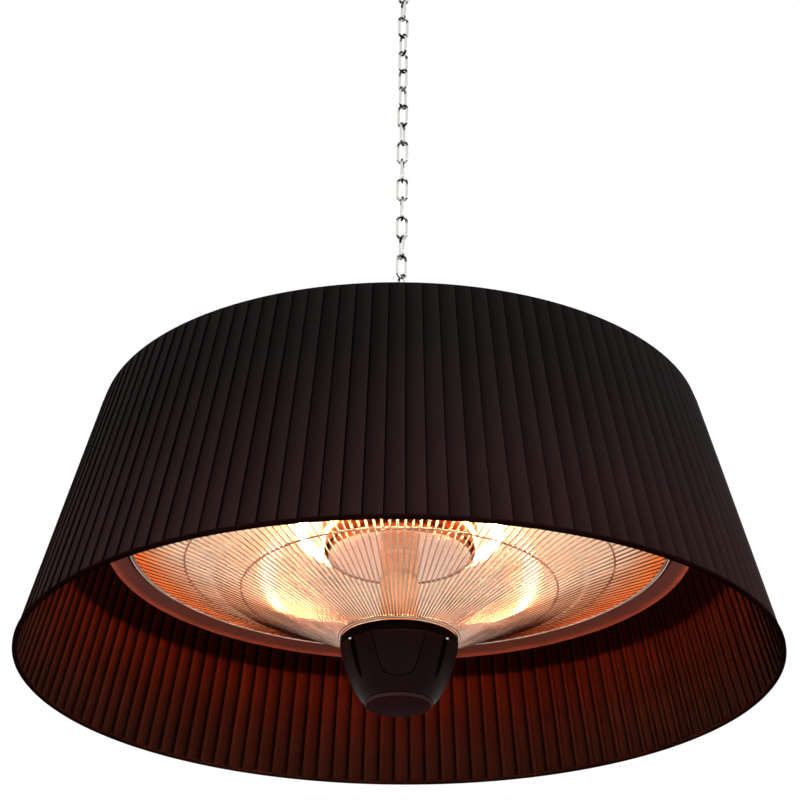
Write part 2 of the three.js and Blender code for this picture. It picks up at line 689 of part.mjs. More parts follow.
function addControlCap() {
  const seamHeight = capTopHeight - capLidThickness - capLidSkirt;
  const wireHole = postRadius - postWall;
  const lidPath = [[capTopRadius, seamHeight], [capTopRadius, capTopHeight], [wireHole, capTopHeight]];
  const lid = revolved(sheetOutline(lidPath, capLidThickness), capSegments);
  piece('cap_lid', lid, finishes.capPlastic, head);

  // The shell's side bulges a little between the seam and the base
  const shellTop = seamHeight - seatGap;
  const shellFoot = -capBottomDepth + capBaseThickness + seatGap;
  const side = capSideShares.map(([inwardShare, downShare]) => [
    lerp(capTopRadius, capBottomRadius, inwardShare),
    lerp(shellTop, shellFoot, downShare),
  ]);
  const shell = revolved(sheetOutline(side.toReversed(), capWall, true), capSegments);
  const windowTop = shellTop - windowDropBelowSeam;
  const windowPlug = (margin) => {
    const topHalf = windowTopWidth / 2 + margin;
    const footHalf = windowFootWidth / 2 + margin;
    const foot = windowTop - windowHeight - margin;
    const rightFoot = windowFootRoundShares.map(([acrossShare, upShare]) => new THREE.Vector2(
      2 * acrossShare * footHalf,
      foot + upShare * windowHeight,
    ));
    const leftFoot = rightFoot.map((point) => new THREE.Vector2(-point.x, point.y));
    const outline = new THREE.Shape([
      new THREE.Vector2(-topHalf, windowTop + margin),
      ...leftFoot,
      ...rightFoot.toReversed(),
      new THREE.Vector2(topHalf, windowTop + margin),
    ]);
    return new THREE.ExtrudeGeometry(outline, { depth: capTopRadius + cutOverrun, bevelEnabled: false })
      .rotateX(Math.PI / 2);
  };
  // The flutes lean with the top of the side
  const fluteTop = shellTop - fluteDropBelowSeam;
  const lean = Math.atan2(capTopRadius - side[1][0], shellTop - side[1][1]);
  const flutes = [-1, 1].map((hand) => {
    const angle = -Math.PI / 2 + hand * radians(fluteDegrees);
    const flute = new THREE.CylinderGeometry(fluteRadius, fluteRadius, fluteLength, wireSides)
      .rotateX(Math.PI / 2).translate(fluteRadius - fluteDepth, 0, -fluteLength / 2);
    return flute.rotateY(lean).translate(capTopRadius, 0, fluteTop).rotateZ(angle);
  });
  piece('cap_shell', cutBy(shell, windowPlug(0), ...flutes), finishes.capPlastic, head);
  piece('cap_window', sharedBy(shell, windowPlug(-seatGap)), finishes.darkWindow, head);

  const baseRound = capBaseThickness / 2;
  const base = revolved([
    [0, -capBottomDepth],
    [capBottomRadius - baseRound, -capBottomDepth],
    [capBottomRadius, -capBottomDepth + baseRound],
    [capBottomRadius, -capBottomDepth + capBaseThickness],
    [0, -capBottomDepth + capBaseThickness],
  ], capSegments);
  const bossFoot = baseRound - capBottomDepth;
  const bossTop = boardHeight - boardThickness / 2 - seatGap;
  const bosses = [[1, 1], [1, -1], [-1, 1], [-1, -1]].map(([sideX, sideY]) => (
    cylinder(bossRadius, bossTop - bossFoot, wireSides).translate(
      sideX * (boardLength / 2 - bossInset),
      sideY * (boardWidth / 2 - bossInset),
      bossFoot,
    )
  ));
  piece('cap_base', joined(base, ...bosses), finishes.capPlastic, head);
}

function addInnerPieces() {
  const board = new THREE.BoxGeometry(boardLength, boardWidth, boardThickness);
  piece('control_board', board, finishes.circuitBoard, head).position.z = boardHeight;
  const terminal = new THREE.BoxGeometry(terminalLength, terminalWidth, terminalHeight);
  piece('terminal_block', terminal, finishes.ceramic, head).position.z =
    boardHeight + (boardThickness + terminalHeight) / 2 + seatGap;
  const cutout = cylinder(cutoutRadius, cutoutHeight, smallSegments);
  const cutoutSeat = dishHeightAt(cutoutDistance - cutoutRadius) + reflectorThickness;
  piece('thermal_cutout', cutout, finishes.zincPlated, head)
    .position.set(cutoutDistance, 0, cutoutSeat + seatGap);
}

function addCableGland() {
  const seat = coverTopHeight + seatGap;
  const gland = joined(
    cylinder(glandHexRadius, glandHexHeight, hexSides),
    cylinder(glandDomeRadius, glandDomeHeight, smallSegments, glandBoreRadius + sheetThickness),
    cylinder(glandThreadRadius, glandThreadLength + cutOverrun, smallSegments)
      .translate(0, 0, -glandThreadLength),
  );
  const bore = cylinder(glandBoreRadius, glandThreadLength + glandDomeHeight + 2 * cutOverrun, wireSides)
    .translate(0, 0, -glandThreadLength - cutOverrun);
  piece('cable_gland', cutBy(gland, bore), finishes.blackSteel, head).position.set(0, glandDistance, seat);
}

addCeilingPlate();
addSnapHook('top_snap_hook', topHookInnerTop, -linksAboveTheFaceOnOne - 1);
addChain();
addSnapHook('bottom_snap_hook', bottomHookInnerTop, linkCount - linksAboveTheFaceOnOne);
addEyeBolt();
addShade();
addCoverAndBezel();
addReflector();
addGuard();
addLampAndHolders();
addShieldAndPost();
addControlCap();
addInnerPieces();
addCableGland();

export default heaterAssembly;
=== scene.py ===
"""Looks of a hanging patio heater: a pleated drum shade round a ring-lamp heater head, on a chain.

Metres, +Z up. Heights of the heater are measured from the shade's rim, which model.glb gives.
"""

import math

import bpy
from mathutils import Matrix, Vector, noise


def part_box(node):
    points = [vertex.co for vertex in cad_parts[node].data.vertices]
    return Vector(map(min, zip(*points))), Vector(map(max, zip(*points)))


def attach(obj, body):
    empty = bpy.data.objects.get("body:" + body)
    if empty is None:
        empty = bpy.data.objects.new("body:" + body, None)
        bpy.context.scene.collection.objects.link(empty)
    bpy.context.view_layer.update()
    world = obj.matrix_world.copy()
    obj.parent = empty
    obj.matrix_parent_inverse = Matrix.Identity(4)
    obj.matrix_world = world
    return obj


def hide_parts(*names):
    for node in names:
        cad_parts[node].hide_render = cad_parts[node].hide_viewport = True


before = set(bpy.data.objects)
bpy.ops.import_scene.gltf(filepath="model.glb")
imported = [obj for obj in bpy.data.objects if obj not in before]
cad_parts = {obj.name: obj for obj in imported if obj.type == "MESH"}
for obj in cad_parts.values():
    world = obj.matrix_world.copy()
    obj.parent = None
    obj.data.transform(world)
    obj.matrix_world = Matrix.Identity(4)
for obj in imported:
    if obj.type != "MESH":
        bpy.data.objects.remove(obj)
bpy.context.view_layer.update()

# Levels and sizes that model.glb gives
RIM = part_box("shade_rim_band")[0].z
BAND_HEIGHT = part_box("shade_rim_band")[1].z - RIM
SHADE_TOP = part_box("shade_pleats")[1].z - RIM
SHADE_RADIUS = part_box("shade_rim_band")[1].x
CAP_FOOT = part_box("cap_base")[0].z - RIM
CAP_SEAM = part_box("cap_lid")[0].z - RIM
CAP_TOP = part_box("cap_lid")[1].z - RIM
CAP_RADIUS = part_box("cap_lid")[1].y
CAP_FOOT_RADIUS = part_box("cap_base")[1].y
BEZEL_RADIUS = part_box("bezel")[1].x
BEZEL_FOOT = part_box("bezel")[0].z - RIM
BEZEL_SKIRT_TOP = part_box("bezel")[1].z - RIM
COVER_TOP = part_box("rear_cover")[1].z - RIM
LIP_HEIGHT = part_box("reflector")[0].z - RIM
DRUM_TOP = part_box("heat_shield")[1].z - RIM
DRUM_TOP_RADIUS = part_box("heat_shield")[1].y
LAMP_HEIGHT = sum(corner.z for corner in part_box("outer_ring_lamp")) / 2 - RIM
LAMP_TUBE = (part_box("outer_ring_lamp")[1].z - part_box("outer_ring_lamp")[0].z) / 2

# Camera: fitted to the photograph's ellipses, metres from the rim's centre and radians
CAMERA_LENS = 90
CAMERA_SENSOR = 36
CAMERA_PLACE = Vector((0.0202, -1.4922, -0.5345))
CAMERA_YAW = -0.014
CAMERA_PITCH = 0.480
CAMERA_ROLL = 0.007
CAMERA_REACH = 60

# Studio: the floor lies low, so that it doesn't hide the heater from below. It fades into the surround
# between two distances from its middle. A soft lamp has a place from the rim's centre, a width and watts.
FLOOR_LEVEL = -5.5
FLOOR_SIZE = 48
FLOOR_BOUNCE = (165, 165, 165)
FLOOR_PALENESS = 0.5
FLOOR_FADE = (1.0, 12.0)
WORLD_STRENGTH = 0.5
SOFT_LAMPS = {
    "key lamp": ((2.1, -2.2, 1.1), 1.6, 26),
    "fill lamp": ((-2.2, -2.0, 0.5), 1.8, 9),
    "back lamp": ((0.6, 2.6, 1.5), 1.6, 22),
}
LAMP_GLOW = 205

# Clearances, sheets and rounded edges
SEAT_GAP = 0.0003
FINE_EDGE = 0.0005
BROAD_EDGE = 0.0008
STEEL_SHEET = 0.0012
DISH_SHEET = 0.001

# Surfaces: the metals' grain, threads and rings of spinning, and how deep each relief is. The cap's plastic
# has its orange peel's scale and depth.
METAL_GRAIN = 350
METAL_RELIEF = 0.000008
THREADS_ROUND = 4200
THREADS_UP = 9000
THREAD_RELIEF = 0.0001
SPINNING_PITCH = 0.0024
SPINNING_RELIEF = 0.000001
CAP_PEEL = (1100, 0.00002)

# Shade
SHADE_TOP_RADIUS = 0.247
PLEAT_COUNT = 130
PLEAT_ANGLE = 2 * math.pi / PLEAT_COUNT
PLEAT_STEPS = 12
# The way round one fold as shares of a pleat, and how far in from the shade's face
PLEAT_SECTION = [
    (0.0, 0.0010), (-0.05, 0.0015), (-0.13, 0.0020), (-0.20, 0.0025), (-0.215, 0.0029),
    (-0.18, 0.0032), (0.03, 0.0026), (0.12, 0.0019), (0.3, 0.0014), (0.55, 0.0010),
    (0.82, 0.0007), (0.95, 0.0006), (1.0, 0.0010),
]
PLEAT_WELD = 1e-5
CLOTH_THICKNESS = 0.0004
FOLD_SHARE = 0.45
FOLD_WANDER = 0.0006
FOLD_SWELL = 0.00025
PRESSED_EDGE = 0.006
PRESSED_INSET = 0.001
BAND_DEPTH = 0.0044
TOP_BAND_HEIGHT = 0.008
TOP_BAND_THICKNESS = 0.002
HUB_DROP = 0.0225
HUB_RADIUS = 0.026
HUB_THICKNESS = 0.003
BOLT_HOLE = 0.0043
ARM_RADIUS = 0.0025
ARM_REACH = 0.006
ARM_COUNT = 4
ARM_FIRST = math.radians(45)

# Heater head
BEZEL_WIDTH = 0.0136
BEZEL_FALL = 0.0065
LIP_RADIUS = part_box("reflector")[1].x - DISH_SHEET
LIP_ROLL = 0.0009
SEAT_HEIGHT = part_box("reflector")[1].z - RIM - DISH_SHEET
SEAT_RADIUS = 0.024
DISH_SHARES = [(0, 0), (0.04, 0.3), (0.12, 0.55), (0.33, 0.78), (0.62, 0.93), (1, 1)]
COVER_TOP_RADIUS = 0.060
COVER_INSET = 0.0098
COVER_SHOULDER = 0.00425
COVER_LAP = 0.005
COVER_SHARES = [(0, 0), (0.1, 0.03), (0.35, 0.2), (0.7, 0.6), (1, 1)]
GLAND_DISTANCE = 0.044
GLAND_THREAD = 0.006
GLAND_HEX = 0.009
GLAND_HEX_HEIGHT = 0.005
GLAND_DOME = 0.0074
GLAND_DOME_HEIGHT = 0.011
GLAND_BORE = 0.0036

# Wire guard
GUARD_WIRE = 0.0007
GUARD_RING = 0.0015
GUARD_WIRE_COUNT = 144
GUARD_BEND = Vector((0.150, 0.0775))
GUARD_BEND_RADIUS = 0.09
GUARD_LIP_GAP = 0.0005

# Ring lamp, the polished drum inside it and the post
LAMP_RADIUS = 0.080
ELEMENT_SHARE = 0.62
DISC_RADIUS = 0.0578
DISC_DISH = 0.0012
DISC_STEPS = 8
DRUM_BEVEL = 0.004
COLLAR_HEIGHT = 0.004
COLLAR_WALL = 0.0009
POST_RADIUS = 0.0152
POST_WALL = 0.002
POST_FLANGE = 0.023

# Control cap
CAP_WALL = 0.002
CAP_BASE = 0.003
CAP_SIDE_SHARES = [(0, 0), (0.2, 0.32), (0.48, 0.66), (0.78, 0.9), (1, 1)]
WINDOW_TOP_HALF = 0.022
WINDOW_FOOT_HALF = 0.0105
# Shares of the window's half width at its foot, and heights over the foot
WINDOW_CORNERS = [(1.32, 0.008), (0.84, 0.0024)]
WINDOW_HEIGHT = 0.0345
WINDOW_GROOVE = 0.0006
FLUTE_RADIUS = 0.0034
FLUTE_DEPTH = 0.0019
FLUTE_LENGTH = 0.032
FLUTE_ANGLE = math.radians(52)
FLUTE_DROP = 0.0008
SCREW_RADIUS = 0.0015
SCREW_SINK = 0.0004
# Shares of the screw's radius, and heights over its foot
SCREW_HEAD = [(0.45, -0.0006), (0.5, -0.0014), (0.8, -0.0013), (1, -0.0007)]

# Chain, snap hooks, eye bolt and ceiling plate
CHAIN_TURN = math.radians(97)
FACE_ON_LINK = 12
LINK_COUNT = 21
LINK_PITCH = 0.02
LINK_BEARING = -0.0819
LINK_WIRE = 0.0012
LINK_BEND = 0.0042
LINK_HALF = 0.00715
HOOK_WIRE = 0.0025
HOOK_BEND = 0.0075
HOOK_HALF = 0.015
GATE_RADIUS = 0.002
GATE_LENGTH = 0.024
EYE_RADIUS = 0.0125
EYE_WIRE = 0.0035
EYE_COLLAR = 0.009
EYE_COLLAR_HEIGHT = 0.012
BOLT_RADIUS = 0.004
PLATE_RADIUS = 0.035
PLATE_THICKNESS = 0.004
PLATE_SCREW_PLACE = 0.026
PLATE_SCREW_HOLE = 0.0026
PLATE_SCREW_COUNT = 3
PLATE_SCREW_GAP = 0.0004
STAPLE_WIRE = 0.003
STAPLE_BEND = 0.010
STAPLE_LEG = 0.010

# Numbers of steps round the turned pieces and the lamp, and how close doubles are
FINE = 256
LAMP_STEPS = 192
MEDIUM = 128
SMALL = 48
WELD = 1e-6


def deselect():
    bpy.ops.object.select_all(action="DESELECT")


def chosen(piece):
    """Makes a piece the only one selected."""
    deselect()
    piece.select_set(True)
    bpy.context.view_layer.objects.active = piece


def started(name, is_edited=True):
    """The primitive just added, named and with its place in its mesh, left in edit mode."""
    piece = bpy.context.active_object
    piece.name = name
    piece.data.name = name
    bpy.ops.object.transform_apply(location=True, rotation=True, scale=True)
    if is_edited:
        bpy.ops.object.mode_set(mode="EDIT")
        bpy.ops.mesh.select_mode(type="VERT")
        bpy.ops.mesh.select_all(action="SELECT")
    return piece


def smoothed(piece, angle):
    chosen(piece)
    bpy.ops.object.shade_smooth_by_angle(angle=math.radians(angle))
    return piece


def finished(piece, angle=40):
    """Closes the edit: doubles merged, faces outwards, smooth up to an angle."""
    bpy.ops.mesh.select_all(action="SELECT")
    bpy.ops.mesh.remove_doubles(threshold=WELD)
    bpy.ops.mesh.normals_make_consistent(inside=False)
    bpy.ops.object.mode_set(mode="OBJECT")
    return smoothed(piece, angle)


def modified(piece, kind, **settings):
    """Adds a modifier with these settings and applies it."""
    bpy.context.view_layer.objects.active = piece
    modifier = piece.modifiers.new(kind.title(), kind)
    for key, value in settings.items():
        setattr(modifier, key, value)
    bpy.ops.object.modifier_apply(modifier=modifier.name)
    return piece


def extruded(x=0.0, y=0.0, z=0.0):
    bpy.ops.mesh.extrude_region_move(TRANSFORM_OT_translate={"value": (x, y, z)})


def scaled(factor, height, centre=(0.0, 0.0)):
    bpy.ops.transform.resize(value=(factor, factor, 1), center_override=(*centre, height))


def copied_round(count):
    """Copies the selected shape round the Z axis, to a number of copies in all."""
    turn = 2 * math.pi * (count - 1) / count
    bpy.ops.mesh.spin(steps=count - 1, angle=turn, dupli=True, center=(0, 0, 0), axis=(0, 0, 1))


def select_open_edges():
    bpy.ops.mesh.select_all(action="DESELECT")
    bpy.ops.mesh.select_non_manifold()


def turned(name, outline, segments=MEDIUM, angle=40, level=RIM):
    """A round piece: a circle is extruded and scaled from one [radius, height] to the next."""
    rings = [point for point in outline if point[0] > 0]
    radius, height = rings[0]
    deselect()
    bpy.ops.mesh.primitive_circle_add(vertices=segments, radius=radius, location=(0, 0, level + height))
    piece = started(name)
    for (last_radius, last_height), (radius, height) in zip(rings, rings[1:]):
        extruded(z=height - last_height)
        scaled(radius / last_radius, level + height)
    if outline[-1][0] > 0 and outline[0][0] > 0:
        select_open_edges()
        bpy.ops.mesh.bridge_edge_loops()
    else:
        if outline[-1][0] == 0:
            extruded(z=outline[-1][1] - rings[-1][1])
            bpy.ops.mesh.merge(type="CENTER")
        if outline[0][0] == 0:
            select_open_edges()
            extruded(z=outline[0][1] - rings[0][1])
            bpy.ops.mesh.merge(type="CENTER")
    return finished(piece, angle)


def ring(name, radius, thickness, height, segments=FINE, sides=12, lean=0.0):
    """A round wire ring at a height above the rim, level or leaning about X."""
    deselect()
    bpy.ops.mesh.primitive_torus_add(
        major_radius=radius,
        minor_radius=thickness,
        major_segments=segments,
        minor_segments=sides,
        location=(0, 0, RIM + height),
        rotation=(lean, 0, 0),
    )
    return finished(started(name), 60)


def drawn(name, places):
    """A line drawn from place to place, left in edit mode and selected."""
    deselect()
    bpy.ops.mesh.primitive_plane_add(size=0.01)
    piece = started(name)
    bpy.ops.mesh.merge(type="CENTER")
    bpy.ops.transform.translate(value=places[0])
    for last, place in zip(places, places[1:]):
        extruded(*(place - last))
    bpy.ops.mesh.select_all(action="SELECT")
    return piece


def curve_through(points, steps):
    """A smooth line through the given points, with so many steps to each span."""
    line = []
    for index in range(len(points) - 1):
        before = points[max(index - 1, 0)]
        first, second = points[index], points[index + 1]
        after = points[min(index + 2, len(points) - 1)]
        for step in range(steps):
            share = step / steps
            line.append([
                0.5 * (
                    2 * b
                    + (c - a) * share
                    + (2 * a - 5 * b + 4 * c - d) * share ** 2
                    + (3 * b - a - 3 * c + d) * share ** 3
                )
                for a, b, c, d in zip(before, first, second, after)
            ])
    return [*line, list(points[-1])]


def between_ends(start, end, shares):
    """Places from one [radius, height] to another, at shares of the way across and of the way up."""
    return [
        [first + (last - first) * share for first, last, share in zip(start, end, pair)]
        for pair in shares
    ]


def sheet_of(path, thickness):
    """Outline of a bent sheet: a path of [radius, height], and the same path moved square to itself."""
    moved = []
    for index, (radius, height) in enumerate(path):
        before = path[max(index - 1, 0)]
        after = path[min(index + 1, len(path) - 1)]
        way = Vector((after[0] - before[0], after[1] - before[1])).normalized()
        moved.append([max(radius - way.y * thickness, 0), height + way.x * thickness])
    return [*path, *reversed(moved)]


class Rod:
    """A round rod in the XZ plane, led from its start by straight runs and bends."""

    def __init__(self, name, radius, start, way, sides=10):
        self.place = Vector((start[0], 0, start[1]))
        self.way = way
        deselect()
        bpy.ops.mesh.primitive_circle_add(
            vertices=sides,
            radius=radius,
            location=self.place,
            rotation=(0, math.pi / 2 - way, 0),
        )
        self.piece = started(name)

    def run(self, length):
        """A straight run along the way."""
        step = Vector((math.cos(self.way), 0, math.sin(self.way))) * length
        extruded(*step)
        self.place += step

    def bend(self, radius, turn, steps):
        """A bend by an angle, from +X towards +Z when it is above 0."""
        hand = 1 if turn > 0 else -1
        side = Vector((-math.sin(self.way), 0, math.cos(self.way))) * hand
        centre = self.place + side * radius
        bpy.ops.mesh.spin(steps=steps, angle=abs(turn), center=centre, axis=(0, hand, 0))
        self.way += turn
        side = Vector((-math.sin(self.way), 0, math.cos(self.way))) * hand
        self.place = centre - side * radius

    def capped(self, rounding=0.0):
        """The finished rod, with flat ends or rounded ones."""
        select_open_edges()
        bpy.ops.mesh.edge_face_add()
        if rounding:
            bpy.ops.mesh.bevel(offset=rounding, segments=4, profile=0.5)
        return finished(self.piece, 60)


def placed(piece, turn=0.0, offset=(0.0, 0.0, 0.0)):
    """Turns a piece about Z and moves it, with the place kept in its mesh."""
    piece.data.transform(Matrix.Translation(offset) @ Matrix.Rotation(turn, 4, "Z"))
    return piece


def copy_of(piece, name):
    twin = piece.copy()
    twin.data = piece.data.copy()
    twin.name = name
    twin.data.name = name
    bpy.context.scene.collection.objects.link(twin)
    return twin


def joined(name, *pieces):
    """Several shapes as one piece."""
    deselect()
    for piece in pieces:
        piece.select_set(True)
    bpy.context.view_layer.objects.active = pieces[0]
    bpy.ops.object.join()
    pieces[0].name = name
    pieces[0].data.name = name
    return pieces[0]


def cut(piece, tool, operation="DIFFERENCE"):
    """Cuts a piece with a tool shape, or adds or shares the two, and takes the tool away."""
    modified(piece, "BOOLEAN", operation=operation, object=tool, solver="EXACT", material_mode="TRANSFER")
    bpy.data.objects.remove(tool)
    return piece


def round_tool(radius, low, high, x=0.0, y=0.0, sides=SMALL):
    """An upright cylinder between two levels, to cut holes with."""
    deselect()
    bpy.ops.mesh.primitive_cylinder_add(
        vertices=sides,
        radius=radius,
        depth=high - low,
        location=(x, y, (low + high) / 2),
    )
    return started("tool", False)


def dressed(piece, finish, body, slot, *nodes):
    """Gives a piece its finish and its body, and hides the CAD nodes that it stands for. The material slot
    is not used.
    """
    piece.data.materials.clear()
    piece.data.materials.append(finish)
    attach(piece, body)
    if nodes:
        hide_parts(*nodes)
    return piece


def second_finish(piece, finish, has_it):
    """Gives another finish to the faces that a test picks."""
    piece.data.materials.append(finish)
    for face in piece.data.polygons:
        face.material_index = 1 if has_it(face) else 0


def reach(face):
    """How far a face's middle is from the Z axis."""
    return math.hypot(face.center.x, face.center.y)


class Value:
    """A number that varies over a surface. Arithmetic on it adds Math nodes."""

    def __init__(self, nodes, socket):
        self.nodes = nodes
        self.socket = socket

    def math(self, operation, *others):
        return self.nodes.node("Math", {"operation": operation}, dict(enumerate([self, *others])))

    def __add__(self, other):
        return self.math("ADD", other)

    def __sub__(self, other):
        return self.math("SUBTRACT", other)

    def __mul__(self, other):
        return self.math("MULTIPLY", other)

    def __rsub__(self, other):
        return self.nodes.node("Math", {"operation": "SUBTRACT"}, {0: other, 1: self})

    __radd__ = __add__
    __rmul__ = __mul__

    def between(self, low, high):
        """0 up to low, 1 from high on, and a smooth rise between them."""
        settings = {"interpolation_type": "SMOOTHSTEP"}
        return self.nodes.node("MapRange", settings, {0: self, 1: low, 2: high, 3: 0.0, 4: 1.0})


class Nodes:
    """The node tree of a material or of the surround."""

    def __init__(self, tree):
        self.tree = tree

    def node(self, kind, settings=None, inputs=None, output=0):
        """Adds a shader node: its settings first, then the values or links of its sockets."""
        node = self.tree.nodes.new(f"ShaderNode{kind}")
        for key, value in (settings or {}).items():
            setattr(node, key, value)
        for key, value in (inputs or {}).items():
            if isinstance(value, Value):
                self.tree.links.new(value.socket, node.inputs[key])
            else:
                node.inputs[key].default_value = value
        return Value(self, node.outputs[output]) if node.outputs else None

    def ray(self, kind):
        """1 for the rays of a kind, and 0 for others."""
        return self.node("LightPath", output=f"Is {kind} Ray")


class Finish(Nodes):
    """A procedural material round one Principled shader."""

    def __init__(self, name, specular=0.5, **constants):
        self.material = bpy.data.materials.new(name)
        self.material.use_nodes = True
        super().__init__(self.material.node_tree)
        self.shader = self.tree.nodes["Principled BSDF"]
        self.shader.inputs["Specular IOR Level"].default_value = specular
        for key, value in constants.items():
            self.shader.inputs[key.replace("_", " ").title()].default_value = value

    def feed(self, socket, value):
        self.tree.links.new(value.socket, self.shader.inputs[socket])

    def place(self):
        return self.node("TexCoord", output="Object")

    def axis(self, place, name):
        return self.node("SeparateXYZ", inputs={0: place}, output=name)

    def reach(self, place):
        """How far a place is from the Z axis."""
        x, y = (self.axis(place, name) for name in "XY")
        return (x * x + y * y).math("SQRT")

    def stretched(self, place, x, y, z):
        """The place with each axis multiplied by a number."""
        return self.node("VectorMath", {"operation": "MULTIPLY"}, {0: place, 1: (x, y, z)})

    def noise(self, place, scale, detail=3.0, roughness=0.55):
        inputs = {"Vector": place, "Scale": scale, "Detail": detail, "Roughness": roughness}
        return self.node("TexNoise", inputs=inputs)

    def mixed(self, share, first, second):
        """A colour between two."""
        return self.node("Mix", {"data_type": "RGBA"}, {0: share, 6: first, 7: second}, output=2)

    def bumped(self, height, depth):
        """Feeds a height, times a depth in metres, to the normal."""
        self.feed("Normal", self.node("Bump", inputs={"Height": height, "Distance": depth}))


def colour(tint):
    """A tint written as it looks, red, green and blue from 0 to 255, as the shader's linear numbers."""
    return (*((share / 255) ** 2.2 for share in tint), 1)


def cloth_finish(name, dark, light, groove, groove_shadow_width, lamp_glow_fade, roughness):
    """Woven cloth in pleats: fine threads, slubs down each pleat, painted shade across each pleat that
    is lightest just before its fold, and a painted shadow in the groove beside each fold.

    Of the two dark colours and the two light ones, the second is that of the rim. It fades into the
    first up to a share of the height: a painted lamp glow, warm near the rim outside, and on the
    lining lamp light that is strongest high up and fades towards the rim.
    """
    cloth = Finish(name, 0.03)
    place = cloth.place()
    x, y, z = (cloth.axis(place, name) for name in "XYZ")
    round_share = cloth.node("Math", {"operation": "ARCTAN2"}, {0: y, 1: x})
    pleats = round_share * (1 / PLEAT_ANGLE)
    phase = pleats.math("FRACT")
    own = cloth.node("TexWhiteNoise", {"noise_dimensions": "1D"}, {"W": pleats.math("FLOOR")})
    slub = cloth.noise(cloth.stretched(place, 1, 1, 0.08), 900, 2.0)
    cloud = cloth.noise(place, 9, 3.0)
    threads = (round_share * THREADS_ROUND).math("SINE") * (z * THREADS_UP).math("SINE")
    # own, slub and cloud are random tone; phase adds painted shade across each pleat, lightest before its
    # fold
    share = (own * 0.15 + slub * 0.25 + cloud * 0.3 + phase * 0.6).between(0.2, 1.15)
    # Painted lamp glow: the rim's colours fade into the top's up to a share of the height
    low = 1 - (z * (1 / SHADE_TOP) - RIM / SHADE_TOP).between(0.0, lamp_glow_fade)
    dark_and_shaded = cloth.mixed(low, *map(colour, dark))
    light_and_lit = cloth.mixed(low, *map(colour, light))
    plain = cloth.mixed(share, dark_and_shaded, light_and_lit)
    # Painted shadow in the groove beside each fold, in the groove colour
    shadowed = 1 - phase.between(0.02, groove_shadow_width)
    cloth.feed("Base Color", cloth.mixed(shadowed, plain, colour(groove)))
    cloth.feed("Roughness", slub * 0.15 + roughness)
    cloth.bumped(threads * 0.5 + slub, THREAD_RELIEF)
    return cloth.material


def metal_finish(name, base, roughness, tarnish, cloud_scale=45, link_shade_height=None):
    """Plated or bare metal: a fine uneven surface, with duller clouds.

    A chain gets painted shade from the height of one bearing on: it is dark there, where the links meet, and
    at each pitch from it.
    """
    metal = Finish(name, metallic=1.0)
    place = metal.place()
    fine = metal.noise(place, METAL_GRAIN, 4.0)
    cloud = metal.noise(place, cloud_scale, 2.0)
    dull = cloud.between(0.35, 0.75)
    if link_shade_height:
        # Painted shade where the links meet
        link_shade = ((metal.axis(place, "Z") - link_shade_height) * (2 * math.pi / LINK_PITCH)).math("COSINE")
        dull = (link_shade * 0.5 + cloud).between(0.76, 1.04)
    metal.feed("Base Color", metal.mixed(dull, colour(base), colour(tarnish)))
    metal.feed("Roughness", fine * 0.08 + cloud * 0.06 + (roughness - 0.07))
    metal.bumped(fine, METAL_RELIEF)
    return metal.material


def paint_finish(name, dark, light, roughness, specular=0.35, orange_peel=700, depth=0.00003):
    """Powder paint or moulded plastic: an orange-peel surface and faint clouds."""
    paint = Finish(name, specular)
    place = paint.place()
    peel = paint.noise(place, orange_peel, 2.0)
    cloud = paint.noise(place, 22, 3.0)
    paint.feed("Base Color", paint.mixed(cloud.between(0.3, 0.75), colour(dark), colour(light)))
    paint.feed("Roughness", peel * 0.1 + cloud * 0.12 + (roughness - 0.1))
    paint.bumped(peel, depth)
    return paint.material


def spun_finish(name, base, tarnish, roughness, painted_reflection=None):
    """Polished sheet metal with the faint rings of its spinning.

    One with a painted reflection turns to another tint between two radii, where the dish would mirror the
    dark inside of the shade.
    """
    metal = Finish(name, metallic=1.0)
    place = metal.place()
    out = metal.reach(place)
    rings = (out * (2 * math.pi / SPINNING_PITCH)).math("SINE")
    cloud = metal.noise(place, 16, 3.0)
    plain = metal.mixed(cloud.between(0.3, 0.7), colour(base), colour(tarnish))
    if painted_reflection:
        # A painted reflection between two radii
        tint, first, last = painted_reflection
        plain = metal.mixed((out + cloud * 0.01).between(first, last), plain, colour(tint))
    metal.feed("Base Color", plain)
    metal.feed("Roughness", cloud * 0.08 + (roughness - 0.04))
    metal.bumped(rings * 0.5 + cloud, SPINNING_RELIEF)
    return metal.material


def glow_finish(name, strength):
    """A white-hot element, a little uneven along its length."""
    glow = Finish(name, roughness=0.6)
    uneven = glow.noise(glow.place(), 120, 2.0)
    glow.feed("Emission Color", glow.mixed(uneven, (1.0, 0.6, 0.28, 1), (1.0, 0.68, 0.35, 1)))
    glow.shader.inputs["Emission Strength"].default_value = strength
    glow.feed("Base Color", glow.mixed(uneven, colour((120, 60, 30)), colour((150, 90, 50))))
    return glow.material


def quartz_finish():
    """Clear quartz tube, thin enough to see the element through."""
    quartz = Finish("quartz", alpha=0.12)
    haze = quartz.noise(quartz.place(), 60, 2.0)
    quartz.feed("Base Color", quartz.mixed(haze, colour((255, 236, 210)), colour((250, 224, 196))))
    quartz.feed("Roughness", haze * 0.08 + 0.03)
    return quartz.material


